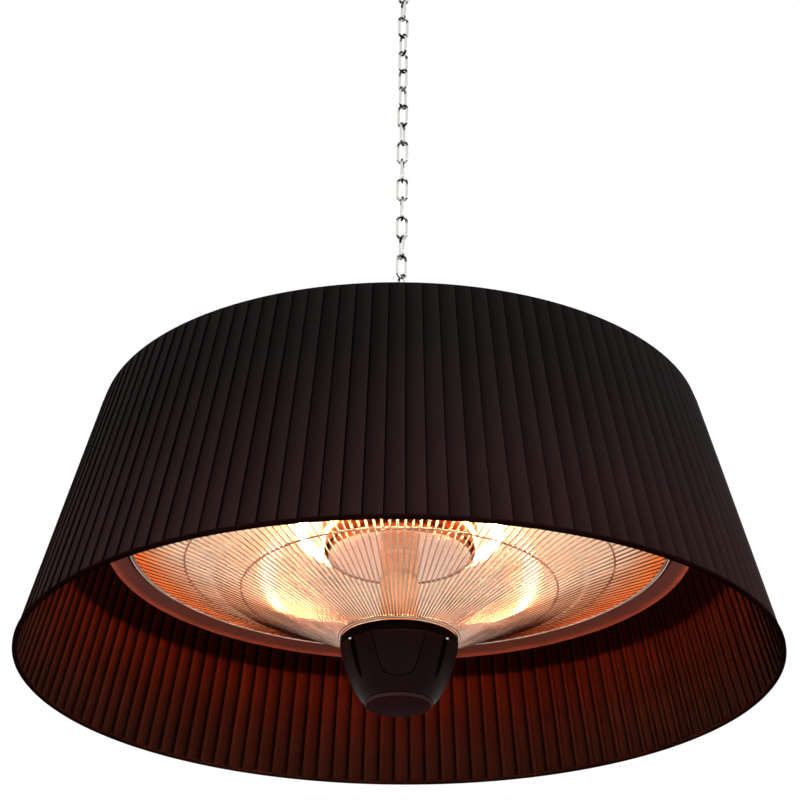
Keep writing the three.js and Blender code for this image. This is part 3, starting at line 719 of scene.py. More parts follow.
def floor_finish():
    """A pale floor that fades into the surround.

    Metal and glass see it white, and it throws little light back up.
    """
    floor = Finish("pale floor", 0.2, roughness=0.8)
    place = floor.place()
    cloud = floor.noise(place, 3)
    floor.feed("Base Color", floor.mixed(cloud, colour((236, 236, 234)), colour((240, 240, 238))))
    reflected = floor.ray("Glossy")
    passed = floor.ray("Transmission")
    far = floor.reach(place).between(*FLOOR_FADE)
    faded = far * (1 - FLOOR_PALENESS) + FLOOR_PALENESS
    watched = floor.ray("Camera") * faded
    white = floor.node("Emission", inputs={"Color": (1, 1, 1, 1), "Strength": 1})
    plain = Value(floor, floor.shader.outputs["BSDF"])
    dark = floor.node("BsdfDiffuse", inputs={"Color": colour(FLOOR_BOUNCE)})
    spread = floor.ray("Diffuse")
    dimmed = floor.node("MixShader", inputs={0: spread, 1: plain, 2: dark})
    share = reflected.math("MAXIMUM", passed).math("MAXIMUM", watched)
    mix = floor.node("MixShader", inputs={0: share, 1: dimmed, 2: white})
    floor.tree.links.new(mix.socket, floor.tree.nodes["Material Output"].inputs["Surface"])
    return floor.material


# Metals: base colour, roughness and tarnish, or for spun ones base colour, tarnish and roughness
ZINC = metal_finish("zinc plating", (206, 205, 200), 0.24, (160, 158, 152), 40)
# The chain's dark tarnish also paints shade where the links meet, at each pitch from LINK_BEARING
CHAIN_ZINC = metal_finish("chain plating", (214, 213, 208), 0.18, (40, 37, 34), 260, LINK_BEARING)
WIRE = metal_finish("guard wire", (208, 170, 150), 0.22, (176, 138, 118))
# The shield, drum and post are polished aluminium tinted by painted lamp light: the shield and post take a
# painted warm glow, the drum's wall a darker painted reflection of the dark inside of the shade
SHIELD_LAMP_GLOW = spun_finish("shield aluminium", (255, 224, 200), (254, 218, 194), 0.24)
DRUM_DARK_REFLECTION = spun_finish("drum aluminium", (198, 114, 68), (180, 98, 54), 0.12)
POST_LAMP_GLOW = metal_finish("post painted lamp glow", (255, 216, 186), 0.18, (252, 198, 166))
# Painted reflection: near its lip the dish turns brown, where it would mirror the dark inside of the shade
DISH_LIP_REFLECTION = ((196, 116, 68), 0.9 * LIP_RADIUS, 1.03 * LIP_RADIUS)
DISH = spun_finish("polished aluminium", (255, 250, 236), (255, 246, 226), 0.48, DISH_LIP_REFLECTION)
LIP = spun_finish("burnished lip", (255, 240, 226), (252, 232, 216), 0.14)
# Outside: the rim colours are warmer and lighter than the top's, a painted lamp glow; groove is the painted
# shadow beside each fold
CLOTH = cloth_finish(
    "shade cloth",
    dark=((27, 22, 22), (43, 29, 28)),
    light=((46, 40, 40), (64, 45, 43)),
    groove=(8, 5, 5),
    groove_shadow_width=0.09,
    lamp_glow_fade=0.8,
    roughness=0.8,
)
# Inside: the top colours are redder and lighter, painted lamp light that fades towards the rim; groove is a
# wide painted shadow in each fold
LINING = cloth_finish(
    "shade lining",
    dark=((42, 13, 8), (34, 20, 20)),
    light=((76, 26, 15), (49, 30, 29)),
    groove=(8, 4, 3),
    groove_shadow_width=0.36,
    lamp_glow_fade=0.5,
    roughness=0.85,
)
BINDING = paint_finish("binding tape", (36, 21, 20), (46, 28, 26), 0.85, 0.0, 1500, 0.00006)
BLACK_STEEL = paint_finish("black paint", (24, 22, 22), (34, 31, 30), 0.5)
BROWN_STEEL = paint_finish("brown paint", (142, 60, 38), (156, 72, 47), 0.5, 0.24)
# One cap plastic in lit and shaded copies: the lid is painted darker, a painted shade under the guard; the
# base is painted lighter, painted light on its underside; the base's rim is lighter still, a painted
# highlight
CAP_PLASTIC = paint_finish("cap plastic", (40, 23, 22), (49, 31, 30), 0.42, 0.05, *CAP_PEEL)
WINDOW = paint_finish("window plastic", (42, 25, 24), (51, 33, 32), 0.38, 0.06, 1600, 0.00001)
CAP_EDGE_HIGHLIGHT = paint_finish("painted cap edge highlight", (92, 62, 60), (108, 76, 72), 0.6, 0.02, *CAP_PEEL)
CAP_BASE_LIT = paint_finish("cap base plastic", (60, 35, 37), (68, 40, 42), 0.7, 0.005, *CAP_PEEL)
CAP_SHADED_LID = paint_finish("cap lid plastic", (18, 9, 9), (22, 12, 12), 0.6, 0.02, *CAP_PEEL)
CERAMIC = paint_finish("ceramic", (214, 206, 192), (232, 226, 214), 0.75)
BOARD = paint_finish("circuit board", (24, 74, 44), (34, 98, 56), 0.45)
GLOW = glow_finish("white-hot element", LAMP_GLOW)
QUARTZ = quartz_finish()


def camera():
    yaw, pitch, roll = CAMERA_YAW, CAMERA_PITCH, CAMERA_ROLL
    forward = Vector((
        math.sin(yaw) * math.cos(pitch),
        math.cos(yaw) * math.cos(pitch),
        math.sin(pitch),
    ))
    right = Vector((math.cos(yaw), -math.sin(yaw), 0))
    above = right.cross(forward)
    rolled_right = math.cos(roll) * right + math.sin(roll) * above
    rolled_above = math.cos(roll) * above - math.sin(roll) * right
    lens = bpy.data.cameras.new("camera")
    lens.lens = CAMERA_LENS
    lens.sensor_width = CAMERA_SENSOR
    lens.clip_end = CAMERA_REACH
    eye = bpy.data.objects.new("camera", lens)
    eye.matrix_world = Matrix.Translation(CAMERA_PLACE + Vector((0, 0, RIM))) @ Matrix((
        rolled_right, rolled_above, -forward
    )).transposed().to_4x4()
    bpy.context.scene.collection.objects.link(eye)
    bpy.context.scene.camera = eye


def soft_lamp(name, place, target, size, energy):
    light = bpy.data.lights.new(name, "AREA")
    light.shape = "DISK"
    light.size = size
    light.energy = energy
    lamp = bpy.data.objects.new(name, light)
    lamp.location = place
    lamp.rotation_euler = (Vector(target) - Vector(place)).to_track_quat("-Z", "Y").to_euler()
    bpy.context.scene.collection.objects.link(lamp)


def studio():
    """A pale floor, a plain white surround and soft lamps."""
    bpy.context.scene.view_settings.view_transform = "Standard"
    world = bpy.data.worlds.new("surround")
    bpy.context.scene.world = world
    world.use_nodes = True
    world.node_tree.nodes.clear()
    surround = Nodes(world.node_tree)
    is_camera, is_glossy, is_transmitted = map(surround.ray, ("Camera", "Glossy", "Transmission"))
    seen = is_camera.math("MAXIMUM", is_glossy).math("MAXIMUM", is_transmitted)
    white = (1, 1, 1, 1)
    soft = surround.node("Background", inputs={"Color": white, "Strength": WORLD_STRENGTH})
    plain = surround.node("Background", inputs={"Color": white, "Strength": 1})
    mix = surround.node("MixShader", inputs={0: seen, 1: soft, 2: plain})
    surround.node("OutputWorld", inputs={"Surface": mix})

    deselect()
    bpy.ops.mesh.primitive_plane_add(size=FLOOR_SIZE, location=(0, 0, FLOOR_LEVEL))
    floor = started("floor", False)
    floor.data.materials.append(floor_finish())

    heater = (0, 0, RIM + SHADE_TOP / 2)
    for name, ((x, y, height), size, watts) in SOFT_LAMPS.items():
        soft_lamp(name, (x, y, RIM + height), heater, size, watts)


def shade_radius_at(height):
    return SHADE_RADIUS + (SHADE_TOP_RADIUS - SHADE_RADIUS) * height / SHADE_TOP


def pleat_places(foot):
    """One knife pleat from fold to fold, as places at the shade's foot."""
    places = []
    for share, inset in PLEAT_SECTION:
        angle = share * PLEAT_ANGLE
        radius = shade_radius_at(foot) - inset
        places.append(Vector((radius * math.cos(angle), radius * math.sin(angle), RIM + foot)))
    return places


def shade():
    """Knife pleats: one is drawn at the rim as a folded line, copied round and extruded to the top."""
    foot = BAND_HEIGHT * 0.4
    places = pleat_places(foot)
    cloth = drawn("pleated_cloth", places)
    copied_round(PLEAT_COUNT)
    bpy.ops.mesh.select_all(action="SELECT")
    bpy.ops.mesh.remove_doubles(threshold=PLEAT_WELD)
    rise = SHADE_TOP - PRESSED_EDGE - foot
    steps = [foot + rise * step / PLEAT_STEPS for step in range(PLEAT_STEPS + 1)]
    steps.append(SHADE_TOP)
    for low, high in zip(steps, steps[1:]):
        extruded(z=high - low)
        scaled(shade_radius_at(high) / shade_radius_at(low), RIM + high)
    bpy.ops.object.mode_set(mode="OBJECT")
    # Folds wander a little, each in its own way
    for vertex in cloth.data.vertices:
        x, y, z = vertex.co
        angle = math.atan2(y, x)
        pleat = round(angle / PLEAT_ANGLE + FOLD_SHARE)
        wander = noise.noise(Vector((pleat * 3.7, 1.3, (z - RIM) * 7)))
        swell = noise.noise(Vector((pleat * 2.3, 9.1, (z - RIM) * 5)))
        turn = angle + FOLD_WANDER / SHADE_RADIUS * wander
        radius = math.hypot(x, y) + FOLD_SWELL * swell
        pressed = min(max((z - RIM - SHADE_TOP) / PRESSED_EDGE + 1, 0), 1)
        radius += (shade_radius_at(z - RIM) - PRESSED_INSET - radius) * pressed
        vertex.co = (radius * math.cos(turn), radius * math.sin(turn), z)
    modified(cloth, "SOLIDIFY", thickness=CLOTH_THICKNESS, offset=0)
    smoothed(cloth, 50)
    dressed(cloth, CLOTH, "heater", "shade_cloth", "shade_pleats")
    # Faces turned inwards take the lining, with its painted lamp light and painted shadows
    second_finish(
        cloth,
        LINING,
        lambda face: face.normal.x * face.center.x + face.normal.y * face.center.y < 0,
    )

    inner = SHADE_RADIUS - BAND_DEPTH
    edge = BAND_HEIGHT * 0.3
    binding = turned("rim_binding", [
        [inner, edge],
        [inner + edge, 0],
        [SHADE_RADIUS - edge, 0],
        [SHADE_RADIUS, edge],
        [SHADE_RADIUS, BAND_HEIGHT - edge],
        [SHADE_RADIUS - edge, BAND_HEIGHT],
        [inner + edge, BAND_HEIGHT],
        [inner, BAND_HEIGHT - edge],
    ], FINE, 60)
    dressed(binding, BINDING, "heater", "shade_cloth", "shade_rim_band")


def top_frame():
    """The band inside the pleats, four arms and the hub on the eye bolt."""
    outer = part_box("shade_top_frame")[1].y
    inner = outer - TOP_BAND_THICKNESS
    band_foot = SHADE_TOP - TOP_BAND_HEIGHT
    edge = TOP_BAND_THICKNESS / 4
    band = turned("band", [
        [inner, band_foot + edge],
        [inner + edge, band_foot],
        [outer - edge, band_foot],
        [outer, band_foot + edge],
        [outer - edge, SHADE_TOP - edge],
        [outer - 2 * edge, SHADE_TOP],
        [inner, SHADE_TOP],
    ])
    hub_top = SHADE_TOP - HUB_DROP
    hub_foot = hub_top - HUB_THICKNESS
    hub = turned("hub", [
        [BOLT_HOLE, hub_foot],
        [HUB_RADIUS - edge, hub_foot],
        [HUB_RADIUS, hub_foot + edge],
        [HUB_RADIUS, hub_top - edge],
        [HUB_RADIUS - edge, hub_top],
        [BOLT_HOLE, hub_top],
    ], SMALL, 30)
    start = Vector((HUB_RADIUS - ARM_REACH, hub_foot + HUB_THICKNESS / 2))
    end = Vector((outer - TOP_BAND_THICKNESS / 2, SHADE_TOP - TOP_BAND_HEIGHT / 2))
    way = end - start
    arms = []
    for index in range(ARM_COUNT):
        rod = Rod(f"arm_{index}", ARM_RADIUS, (start.x, RIM + start.y), math.atan2(way.y, way.x), 16)
        rod.run(way.length)
        arms.append(placed(rod.capped(), ARM_FIRST + index * 2 * math.pi / ARM_COUNT))
    whole = joined("top_frame_band", band, hub, *arms)
    dressed(whole, BLACK_STEEL, "heater", "black_painted_steel", "shade_top_frame")


def reflector_and_bezel():
    """A spun dish with a rolled lip, and the painted ring round its mouth."""
    dish = between_ends((LIP_RADIUS, LIP_HEIGHT), (SEAT_RADIUS, SEAT_HEIGHT), DISH_SHARES)
    path = [
        [LIP_RADIUS - 2 * LIP_ROLL, LIP_HEIGHT + LIP_ROLL],
        [LIP_RADIUS - 1.7 * LIP_ROLL, LIP_HEIGHT + 0.3 * LIP_ROLL],
        [LIP_RADIUS - LIP_ROLL, LIP_HEIGHT],
        [LIP_RADIUS - 0.3 * LIP_ROLL, LIP_HEIGHT + 0.3 * LIP_ROLL],
        [LIP_RADIUS, LIP_HEIGHT + LIP_ROLL],
        *curve_through(dish, 8)[2:],
        [POST_RADIUS - POST_WALL, SEAT_HEIGHT],
    ]
    reflector = turned("reflector_dish", sheet_of(path[::-1], DISH_SHEET), FINE)
    dressed(reflector, DISH, "heater", "polished_aluminium", "reflector")
    lip_inside, lip_top = LIP_RADIUS - 2 * LIP_ROLL, RIM + LIP_HEIGHT + 2 * LIP_ROLL
    second_finish(reflector, LIP, lambda face: reach(face) > lip_inside and face.center.z < lip_top)

    inner = BEZEL_RADIUS - BEZEL_WIDTH
    inner_height = BEZEL_FOOT + BEZEL_FALL
    edge = STEEL_SHEET / 2
    fall_share = BEZEL_FALL / BEZEL_WIDTH
    face = [inner + 2 * edge, inner + BEZEL_WIDTH / 2, BEZEL_RADIUS - 2 * edge]
    path = [
        [inner, inner_height + 4 * edge],
        [inner, inner_height + edge],
        [inner + edge / 2, inner_height],
        *([radius, inner_height - (radius - inner) * fall_share] for radius in face),
        [BEZEL_RADIUS - edge / 2, BEZEL_FOOT + edge / 4],
        [BEZEL_RADIUS, BEZEL_FOOT + edge],
        [BEZEL_RADIUS, BEZEL_SKIRT_TOP],
    ]
    bezel = turned("bezel_ring", sheet_of(path, STEEL_SHEET), FINE, 30)
    dressed(bezel, BROWN_STEEL, "heater", "brown_painted_steel", "bezel")


def cover():
    """The head's upper shell, with its holes for the eye bolt and the cable gland."""
    skirt = BEZEL_RADIUS - STEEL_SHEET - SEAT_GAP
    shoulder = LIP_HEIGHT + (SEAT_HEIGHT - LIP_HEIGHT) * DISH_SHARES[1][1] + COVER_SHOULDER
    dome = between_ends((COVER_TOP_RADIUS, COVER_TOP), (skirt - COVER_INSET, shoulder), COVER_SHARES)
    path = [
        [skirt, BEZEL_SKIRT_TOP - COVER_LAP],
        [skirt, BEZEL_SKIRT_TOP],
        *curve_through(dome[::-1], 8),
        [BOLT_HOLE, COVER_TOP],
    ]
    shell = turned("cover_shell", sheet_of(path, STEEL_SHEET), FINE, 30)
    hole_foot = RIM + COVER_TOP - 3 * STEEL_SHEET
    hole_top = RIM + COVER_TOP + 3 * STEEL_SHEET
    cut(shell, round_tool(GLAND_THREAD + SEAT_GAP, hole_foot, hole_top, y=GLAND_DISTANCE))
    smoothed(shell, 30)
    dressed(shell, BLACK_STEEL, "heater", "black_painted_steel", "rear_cover")


def gland():
    """A cable gland: a hexagon round a tapered dome, with its bore open."""
    seat = COVER_TOP + SEAT_GAP
    shoulder = BROAD_EDGE
    outline = [
        [GLAND_BORE, seat + GLAND_DOME_HEIGHT],
        [GLAND_BORE, -shoulder * 10 + seat],
        [GLAND_THREAD, -shoulder * 10 + seat],
        [GLAND_THREAD, seat],
        [GLAND_DOME, seat],
        [GLAND_DOME, seat + GLAND_HEX_HEIGHT + 2 * shoulder],
        [GLAND_DOME - shoulder / 2, seat + GLAND_HEX_HEIGHT + 3 * shoulder],
        [GLAND_BORE + 2 * shoulder, seat + GLAND_DOME_HEIGHT - shoulder],
        [GLAND_BORE + shoulder, seat + GLAND_DOME_HEIGHT],
    ]
    dome = turned("dome", outline, SMALL, 30)
    hexagon = round_tool(GLAND_HEX, RIM + seat, RIM + seat + GLAND_HEX_HEIGHT, sides=6)
    modified(hexagon, "BEVEL", width=shoulder, segments=2)
    cut(hexagon, round_tool(GLAND_DOME - shoulder, RIM + seat - shoulder, RIM + seat + GLAND_DOME_HEIGHT))
    smoothed(hexagon, 30)
    whole = joined("gland_nut", dome, hexagon)
    placed(whole, offset=(0, GLAND_DISTANCE, 0))
    dressed(whole, BLACK_STEEL, "heater", "black_plastic", "cable_gland")


def guard():
    """Radial wires between two rings, bent once, and two hoops that lie on them."""
    inner = Vector((CAP_RADIUS + SEAT_GAP, CAP_TOP + SEAT_GAP + GUARD_RING))
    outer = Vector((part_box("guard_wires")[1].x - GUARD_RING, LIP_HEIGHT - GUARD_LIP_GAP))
    first, second = GUARD_BEND - inner, outer - GUARD_BEND
    drop, fall = math.atan2(first.y, first.x), math.atan2(second.y, second.x)
    cut_back = GUARD_BEND_RADIUS * math.tan(abs(drop - fall) / 2)
    rod = Rod("wires", GUARD_WIRE, (inner.x, RIM + inner.y), drop, 6)
    rod.run(first.length - cut_back)
    rod.bend(GUARD_BEND_RADIUS, fall - drop, 4)
    rod.run(second.length - cut_back)
    select_open_edges()
    bpy.ops.mesh.edge_face_add()
    bpy.ops.mesh.select_all(action="SELECT")
    copied_round(GUARD_WIRE_COUNT)
    wires = finished(rod.piece, 60)
    rings = [ring("ring", radius, GUARD_RING, height) for radius, height in (outer, inner)]
    dressed(joined("guard", wires, *rings), WIRE, "heater", "guard_wire", "guard_wires")
    for side in ("outer", "inner"):
        node = f"guard_hoop_{side}"
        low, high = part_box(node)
        thickness = (high.z - low.z) / 2
        hoop = ring(f"{side}_hoop", high.x - thickness, thickness, (low.z + high.z) / 2 - RIM, sides=10)
        dressed(hoop, WIRE, "heater", "guard_wire", node)


def ring_lamp():
    """A clear quartz tube round a glowing element."""
    quartz = ring("quartz_tube", LAMP_RADIUS, LAMP_TUBE, LAMP_HEIGHT, LAMP_STEPS, 20)
    dressed(quartz, QUARTZ, "heater", "lamp_quartz", "outer_ring_lamp")
    element = ring("heating_element", LAMP_RADIUS, LAMP_TUBE * ELEMENT_SHARE, LAMP_HEIGHT, LAMP_STEPS, 16)
    dressed(element, GLOW, "heater", "lamp_quartz")


def shield_and_post():
    """The polished drum inside the lamp, with its flat disc, and the tube that carries the cap."""
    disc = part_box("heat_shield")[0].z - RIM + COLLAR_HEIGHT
    bore = POST_RADIUS + SEAT_GAP
    collar = bore + COLLAR_WALL
    edge = FINE_EDGE
    dished = []
    for step in range(1, DISC_STEPS):
        radius = collar + (DISC_RADIUS - edge - collar) * step / DISC_STEPS
        dished.append([radius, disc + DISC_DISH * (1 - (radius / DISC_RADIUS) ** 2)])
    path = [
        [bore, disc - COLLAR_HEIGHT / 2],
        [collar, disc - COLLAR_HEIGHT / 2],
        [collar, disc + DISC_DISH],
        *dished,
        [DISC_RADIUS - edge, disc],
        [DISC_RADIUS, disc + edge / 2],
        [DISC_RADIUS + DRUM_BEVEL - edge, disc + DRUM_BEVEL - edge],
        [DISC_RADIUS + DRUM_BEVEL, disc + DRUM_BEVEL + edge],
        [DRUM_TOP_RADIUS, DRUM_TOP],
        [DRUM_TOP_RADIUS - STEEL_SHEET, DRUM_TOP],
        [DISC_RADIUS + DRUM_BEVEL - STEEL_SHEET, disc + DRUM_BEVEL + edge],
        [DISC_RADIUS, disc + STEEL_SHEET],
        [bore, disc + DISC_DISH + STEEL_SHEET],
    ]
    shield = turned("shield_drum", path, FINE, 30)
    dressed(shield, SHIELD_LAMP_GLOW, "heater", "polished_aluminium", "heat_shield")
    # The drum's wall takes the darker painted reflection
    second_finish(shield, DRUM_DARK_REFLECTION, lambda face: reach(face) > DISC_RADIUS)

    foot = CAP_TOP + SEAT_GAP
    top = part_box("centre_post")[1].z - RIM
    column = turned("post_tube", [
        [POST_RADIUS - POST_WALL, foot],
        [POST_RADIUS - edge, foot],
        [POST_RADIUS, foot + edge],
        [POST_RADIUS, top - POST_WALL - 2 * edge],
        [POST_RADIUS + 2 * edge, top - POST_WALL],
        [POST_FLANGE, top - POST_WALL],
        [POST_FLANGE, top],
        [POST_RADIUS - POST_WALL, top],
    ], MEDIUM, 30)
    dressed(column, POST_LAMP_GLOW, "heater", "polished_aluminium", "centre_post")


def window_plug(shell_top, groove):
    """The receiver window's outline, extruded out through the front of the cap."""
    top = shell_top + CAP_WALL
    foot = shell_top - WINDOW_HEIGHT + groove
    right = curve_through([
        [WINDOW_TOP_HALF - groove, top],
        *([WINDOW_FOOT_HALF * share - groove, foot + rise] for share, rise in WINDOW_CORNERS),
        [0, foot],
    ], 6)
    left = [[-x, z] for x, z in right[::-1]]
    outline = [Vector((x, 0, RIM + z)) for x, z in [*right, *left[1:]]]
    plug = drawn("window_plug", [*outline, outline[0]])
    bpy.ops.mesh.remove_doubles(threshold=WELD)
    bpy.ops.mesh.edge_face_add()
    extruded(y=-CAP_RADIUS - CAP_WALL)
    return finished(plug)


def control_cap():
    """Lid, shell with its receiver window and two screw flutes, and base."""
    wire_hole = POST_RADIUS - POST_WALL
    edge = FINE_EDGE
    lid = turned("cap_lid_shell", [
        [wire_hole, CAP_TOP],
        [CAP_RADIUS - 3 * edge, CAP_TOP],
        [CAP_RADIUS - edge, CAP_TOP - edge],
        [CAP_RADIUS, CAP_TOP - 3 * edge],
        [CAP_RADIUS, CAP_SEAM + edge],
        [CAP_RADIUS - edge, CAP_SEAM],
        [CAP_RADIUS - CAP_WALL, CAP_SEAM],
        [CAP_RADIUS - CAP_WALL, CAP_TOP - CAP_WALL],
        [wire_hole, CAP_TOP - CAP_WALL],
    ], FINE, 30)
    dressed(lid, CAP_SHADED_LID, "heater", "cap_plastic", "cap_lid")

    shell_top = CAP_SEAM - SEAT_GAP
    shell_foot = CAP_FOOT + CAP_BASE + SEAT_GAP
    side = between_ends((CAP_RADIUS, shell_top), (CAP_FOOT_RADIUS, shell_foot), CAP_SIDE_SHARES)
    line = curve_through(side, 10)
    line[0][0] -= edge
    outline = sheet_of(line[::-1], CAP_WALL)
    shell = turned("cap_shell_side", outline, FINE, 30)
    window = cut(copy_of(shell, "receiver_window"), window_plug(shell_top, WINDOW_GROOVE), "INTERSECT")
    cut(shell, window_plug(shell_top, 0))
    dressed(shell, CAP_PLASTIC, "heater", "cap_plastic", "cap_shell")
    lean = math.atan2(CAP_RADIUS - side[1][0], shell_top - side[1][1])
    screw_slope = Matrix.Rotation(lean, 4, "Y")
    for hand, name in ((-1, "left"), (1, "right")):
        place = (
            Matrix.Rotation(-math.pi / 2 + hand * FLUTE_ANGLE, 4, "Z")
            @ Matrix.Translation((CAP_RADIUS, 0, RIM + shell_top - FLUTE_DROP))
            @ screw_slope
        )
        flute = round_tool(FLUTE_RADIUS, -FLUTE_LENGTH, 0, FLUTE_RADIUS - FLUTE_DEPTH)
        flute.data.transform(place)
        # The flutes take the lid's darker plastic: painted shade in the recesses
        flute.data.materials.append(CAP_SHADED_LID)
        cut(shell, flute)
        screw = turned(f"cap_screw_{name}", [
            [0, -SCREW_SINK],
            *([SCREW_RADIUS * share, height] for share, height in SCREW_HEAD),
            [SCREW_RADIUS, 0],
            [0, 0],
        ], 24, 30, 0)
        screw.data.transform(place @ Matrix.Translation((FLUTE_RADIUS - FLUTE_DEPTH - SCREW_SINK, 0, 0)))
        dressed(screw, ZINC, "heater", "zinc_plated_steel")
    smoothed(shell, 30)
    smoothed(window, 30)
    dressed(window, WINDOW, "heater", "window_plastic", "cap_window")

    base_edge = CAP_BASE / 2
    foot = turned("cap_base_disc", [
        [0, CAP_FOOT],
        [CAP_FOOT_RADIUS - 2 * base_edge, CAP_FOOT],
        [CAP_FOOT_RADIUS - base_edge, CAP_FOOT + base_edge / 4],
        [CAP_FOOT_RADIUS - base_edge / 4, CAP_FOOT + base_edge],
        [CAP_FOOT_RADIUS, CAP_FOOT + 1.8 * base_edge],
        [CAP_FOOT_RADIUS - base_edge / 2, CAP_FOOT + CAP_BASE],
        [0, CAP_FOOT + CAP_BASE],
    ], FINE, 30)
    dressed(foot, CAP_BASE_LIT, "heater", "cap_plastic", "cap_base")
    # A painted highlight round the base's rounded rim
    second_finish(foot, CAP_EDGE_HIGHLIGHT, lambda face: reach(face) > CAP_FOOT_RADIUS - 1.5 * base_edge)


def chain():
    """One link is bent from wire, and each copy is turned a little more than a quarter from the last."""
    rod = Rod("chain_wire", LINK_WIRE, (LINK_BEND, -LINK_HALF), math.pi / 2, 12)
    rod.run(2 * LINK_HALF)
    rod.bend(LINK_BEND, math.pi, 12)
    rod.run(2 * LINK_HALF)
    rod.bend(LINK_BEND, math.pi, 12)
    link = finished(rod.piece, 60)
    for number in range(1, LINK_COUNT + 1):
        node = f"chain_link_{number:02d}"
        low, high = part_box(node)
        twin = placed(
            copy_of(link, f"link_{number:02d}"),
            CHAIN_TURN * (number - FACE_ON_LINK),
            (0, 0, (low.z + high.z) / 2),
        )
        dressed(twin, CHAIN_ZINC, f"link_{number:02d}", "zinc_plated_steel", node)
    bpy.data.objects.remove(link)


def snap_hook(side, place):
    """A snap hook bent from round wire, and the straight gate that closes it."""
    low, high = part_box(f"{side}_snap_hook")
    centre = (0, 0, (low.z + high.z) / 2)
    turn = CHAIN_TURN * place
    rod = Rod(f"{side}_hook_wire", HOOK_WIRE, (HOOK_BEND, GATE_LENGTH / 2 + SEAT_GAP), math.pi / 2, 20)
    rod.run(HOOK_HALF - GATE_LENGTH / 2 - SEAT_GAP)
    rod.bend(HOOK_BEND, math.pi, 20)
    rod.run(2 * HOOK_HALF)
    rod.bend(HOOK_BEND, math.pi, 20)
    rod.run(HOOK_HALF - GATE_LENGTH / 2 - GATE_RADIUS - SEAT_GAP)
    hook = placed(rod.capped(HOOK_WIRE / 4), turn, centre)
    dressed(hook, ZINC, f"{side}_hook", "zinc_plated_steel", f"{side}_snap_hook")
    rod = Rod(f"{side}_hook_gate", GATE_RADIUS, (HOOK_BEND, -GATE_LENGTH / 2 - GATE_RADIUS), math.pi / 2, 20)
    rod.run(GATE_LENGTH + GATE_RADIUS)
    gate = placed(rod.capped(GATE_RADIUS / 2), turn, centre)
    dressed(gate, ZINC, f"{side}_gate", "zinc_plated_steel", f"{side}_snap_hook_gate")


def eye_bolt():
    """A forged eye on a collar, its shank, and a split washer under the collar."""
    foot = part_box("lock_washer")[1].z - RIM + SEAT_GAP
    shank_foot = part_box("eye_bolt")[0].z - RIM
    collar_top = foot + EYE_COLLAR_HEIGHT
    edge = BROAD_EDGE
    body = turned("bolt", [
        [0, shank_foot],
        [BOLT_RADIUS - edge, shank_foot],
        [BOLT_RADIUS, shank_foot + edge],
        [BOLT_RADIUS, foot],
        [EYE_COLLAR - edge, foot],
        [EYE_COLLAR, foot + edge],
        [EYE_COLLAR, foot + EYE_COLLAR_HEIGHT * 0.35],
        [EYE_COLLAR - edge / 2, foot + EYE_COLLAR_HEIGHT * 0.45],
        [EYE_COLLAR * 0.72, foot + EYE_COLLAR_HEIGHT * 0.7],
        [EYE_COLLAR * 0.55, collar_top],
        [EYE_COLLAR * 0.4, collar_top + EYE_WIRE],
        [0, collar_top + EYE_WIRE],
    ], SMALL, 40)
    eye = ring("eye", EYE_RADIUS, EYE_WIRE, collar_top + EYE_RADIUS, 64, 20, math.pi / 2)
    placed(eye, CHAIN_TURN * (LINK_COUNT - FACE_ON_LINK + 2))
    bolt = smoothed(cut(body, eye, "UNION"), 40)
    bolt.name = "forged_eye_bolt"
    dressed(bolt, ZINC, "heater", "zinc_plated_steel", "eye_bolt")

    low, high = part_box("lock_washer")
    thickness = high.z - low.z
    washer = turned("split_washer", [
        [BOLT_HOLE, low.z - RIM],
        [high.y, low.z - RIM],
        [high.y, high.z - RIM],
        [BOLT_HOLE, high.z - RIM],
    ], SMALL, 30)
    deselect()
    bpy.ops.mesh.primitive_cube_add(size=1, location=(high.y - BOLT_HOLE / 2, 0, (low.z + high.z) / 2))
    slit = bpy.context.active_object
    slit.scale = (2 * BOLT_HOLE, thickness / 2, 2 * thickness)
    slit = started("slit", False)
    smoothed(cut(washer, slit), 30)
    dressed(washer, ZINC, "heater", "zinc_plated_steel", "lock_washer")


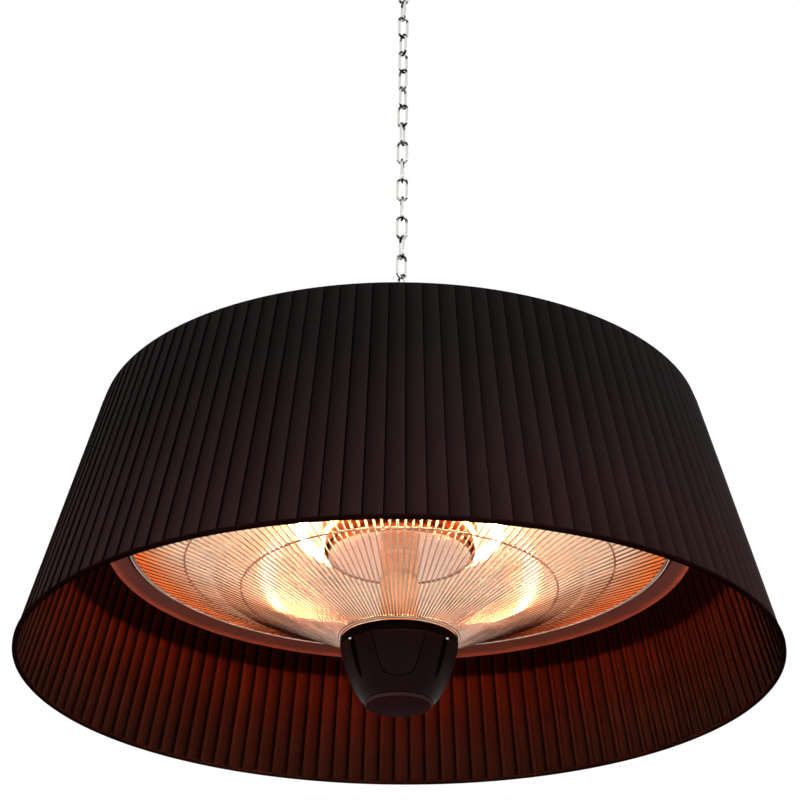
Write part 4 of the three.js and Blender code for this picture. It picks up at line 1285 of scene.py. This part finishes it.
def ceiling_plate():
    """A round plate with a welded wire staple and three screws."""
    edge = BROAD_EDGE
    foot = -PLATE_THICKNESS
    plate = turned("ceiling_plate_disc", [
        [0, foot],
        [PLATE_RADIUS - edge, foot],
        [PLATE_RADIUS, foot + edge],
        [PLATE_RADIUS, -edge / 4],
        [PLATE_RADIUS - edge / 4, 0],
        [0, 0],
    ], MEDIUM, 30, 0)
    screws = []
    for index in range(PLATE_SCREW_COUNT):
        angle = math.pi / 2 + index * 2 * math.pi / PLATE_SCREW_COUNT
        x, y = PLATE_SCREW_PLACE * math.cos(angle), PLATE_SCREW_PLACE * math.sin(angle)
        cut(plate, round_tool(PLATE_SCREW_HOLE, foot - edge, edge, x, y, 32))
        head = 2 * PLATE_SCREW_HOLE - edge
        screw = turned(f"screw_{index}", [
            [0, foot - 0.4 * edge],
            [head * 0.3, foot - 0.4 * edge],
            [head * 0.33, foot - 2.6 * edge],
            [head * 0.6, foot - 2.3 * edge],
            [head * 0.9, foot - 1.2 * edge],
            [head, foot - edge / 4],
            [PLATE_SCREW_HOLE - PLATE_SCREW_GAP, foot - edge / 4],
            [PLATE_SCREW_HOLE - PLATE_SCREW_GAP, -edge / 4],
            [0, -edge / 4],
        ], 32, 30, 0)
        screws.append(placed(screw, offset=(x, y, 0)))
    rod = Rod("staple", STAPLE_WIRE, (-STAPLE_BEND, foot + edge), -math.pi / 2, 20)
    rod.run(STAPLE_LEG + edge)
    rod.bend(STAPLE_BEND, math.pi, 20)
    rod.run(STAPLE_LEG + edge)
    whole = cut(plate, rod.capped(), "UNION")
    turn = CHAIN_TURN * (-FACE_ON_LINK - 1)
    dressed(smoothed(placed(whole, turn), 30), ZINC, "ceiling", "zinc_plated_steel", "ceiling_plate")
    dressed(placed(joined("plate_screws", *screws), turn), ZINC, "ceiling", "zinc_plated_steel")


def carried_over():
    """The CAD nodes that stay, with their finishes."""
    finishes = {
        "hanger_nut": ZINC,
        **{f"lamp_holder_{number}": CERAMIC for number in range(1, 5)},
        "control_board": BOARD,
        "terminal_block": CERAMIC,
        "thermal_cutout": ZINC,
    }
    for node, finish in finishes.items():
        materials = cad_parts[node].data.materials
        materials.clear()
        materials.append(finish)


camera()
studio()
shade()
top_frame()
reflector_and_bezel()
cover()
gland()
guard()
ring_lamp()
shield_and_post()
control_cap()
chain()
snap_hook("top", -FACE_ON_LINK)
snap_hook("bottom", LINK_COUNT - FACE_ON_LINK + 1)
eye_bolt()
ceiling_plate()
carried_over()
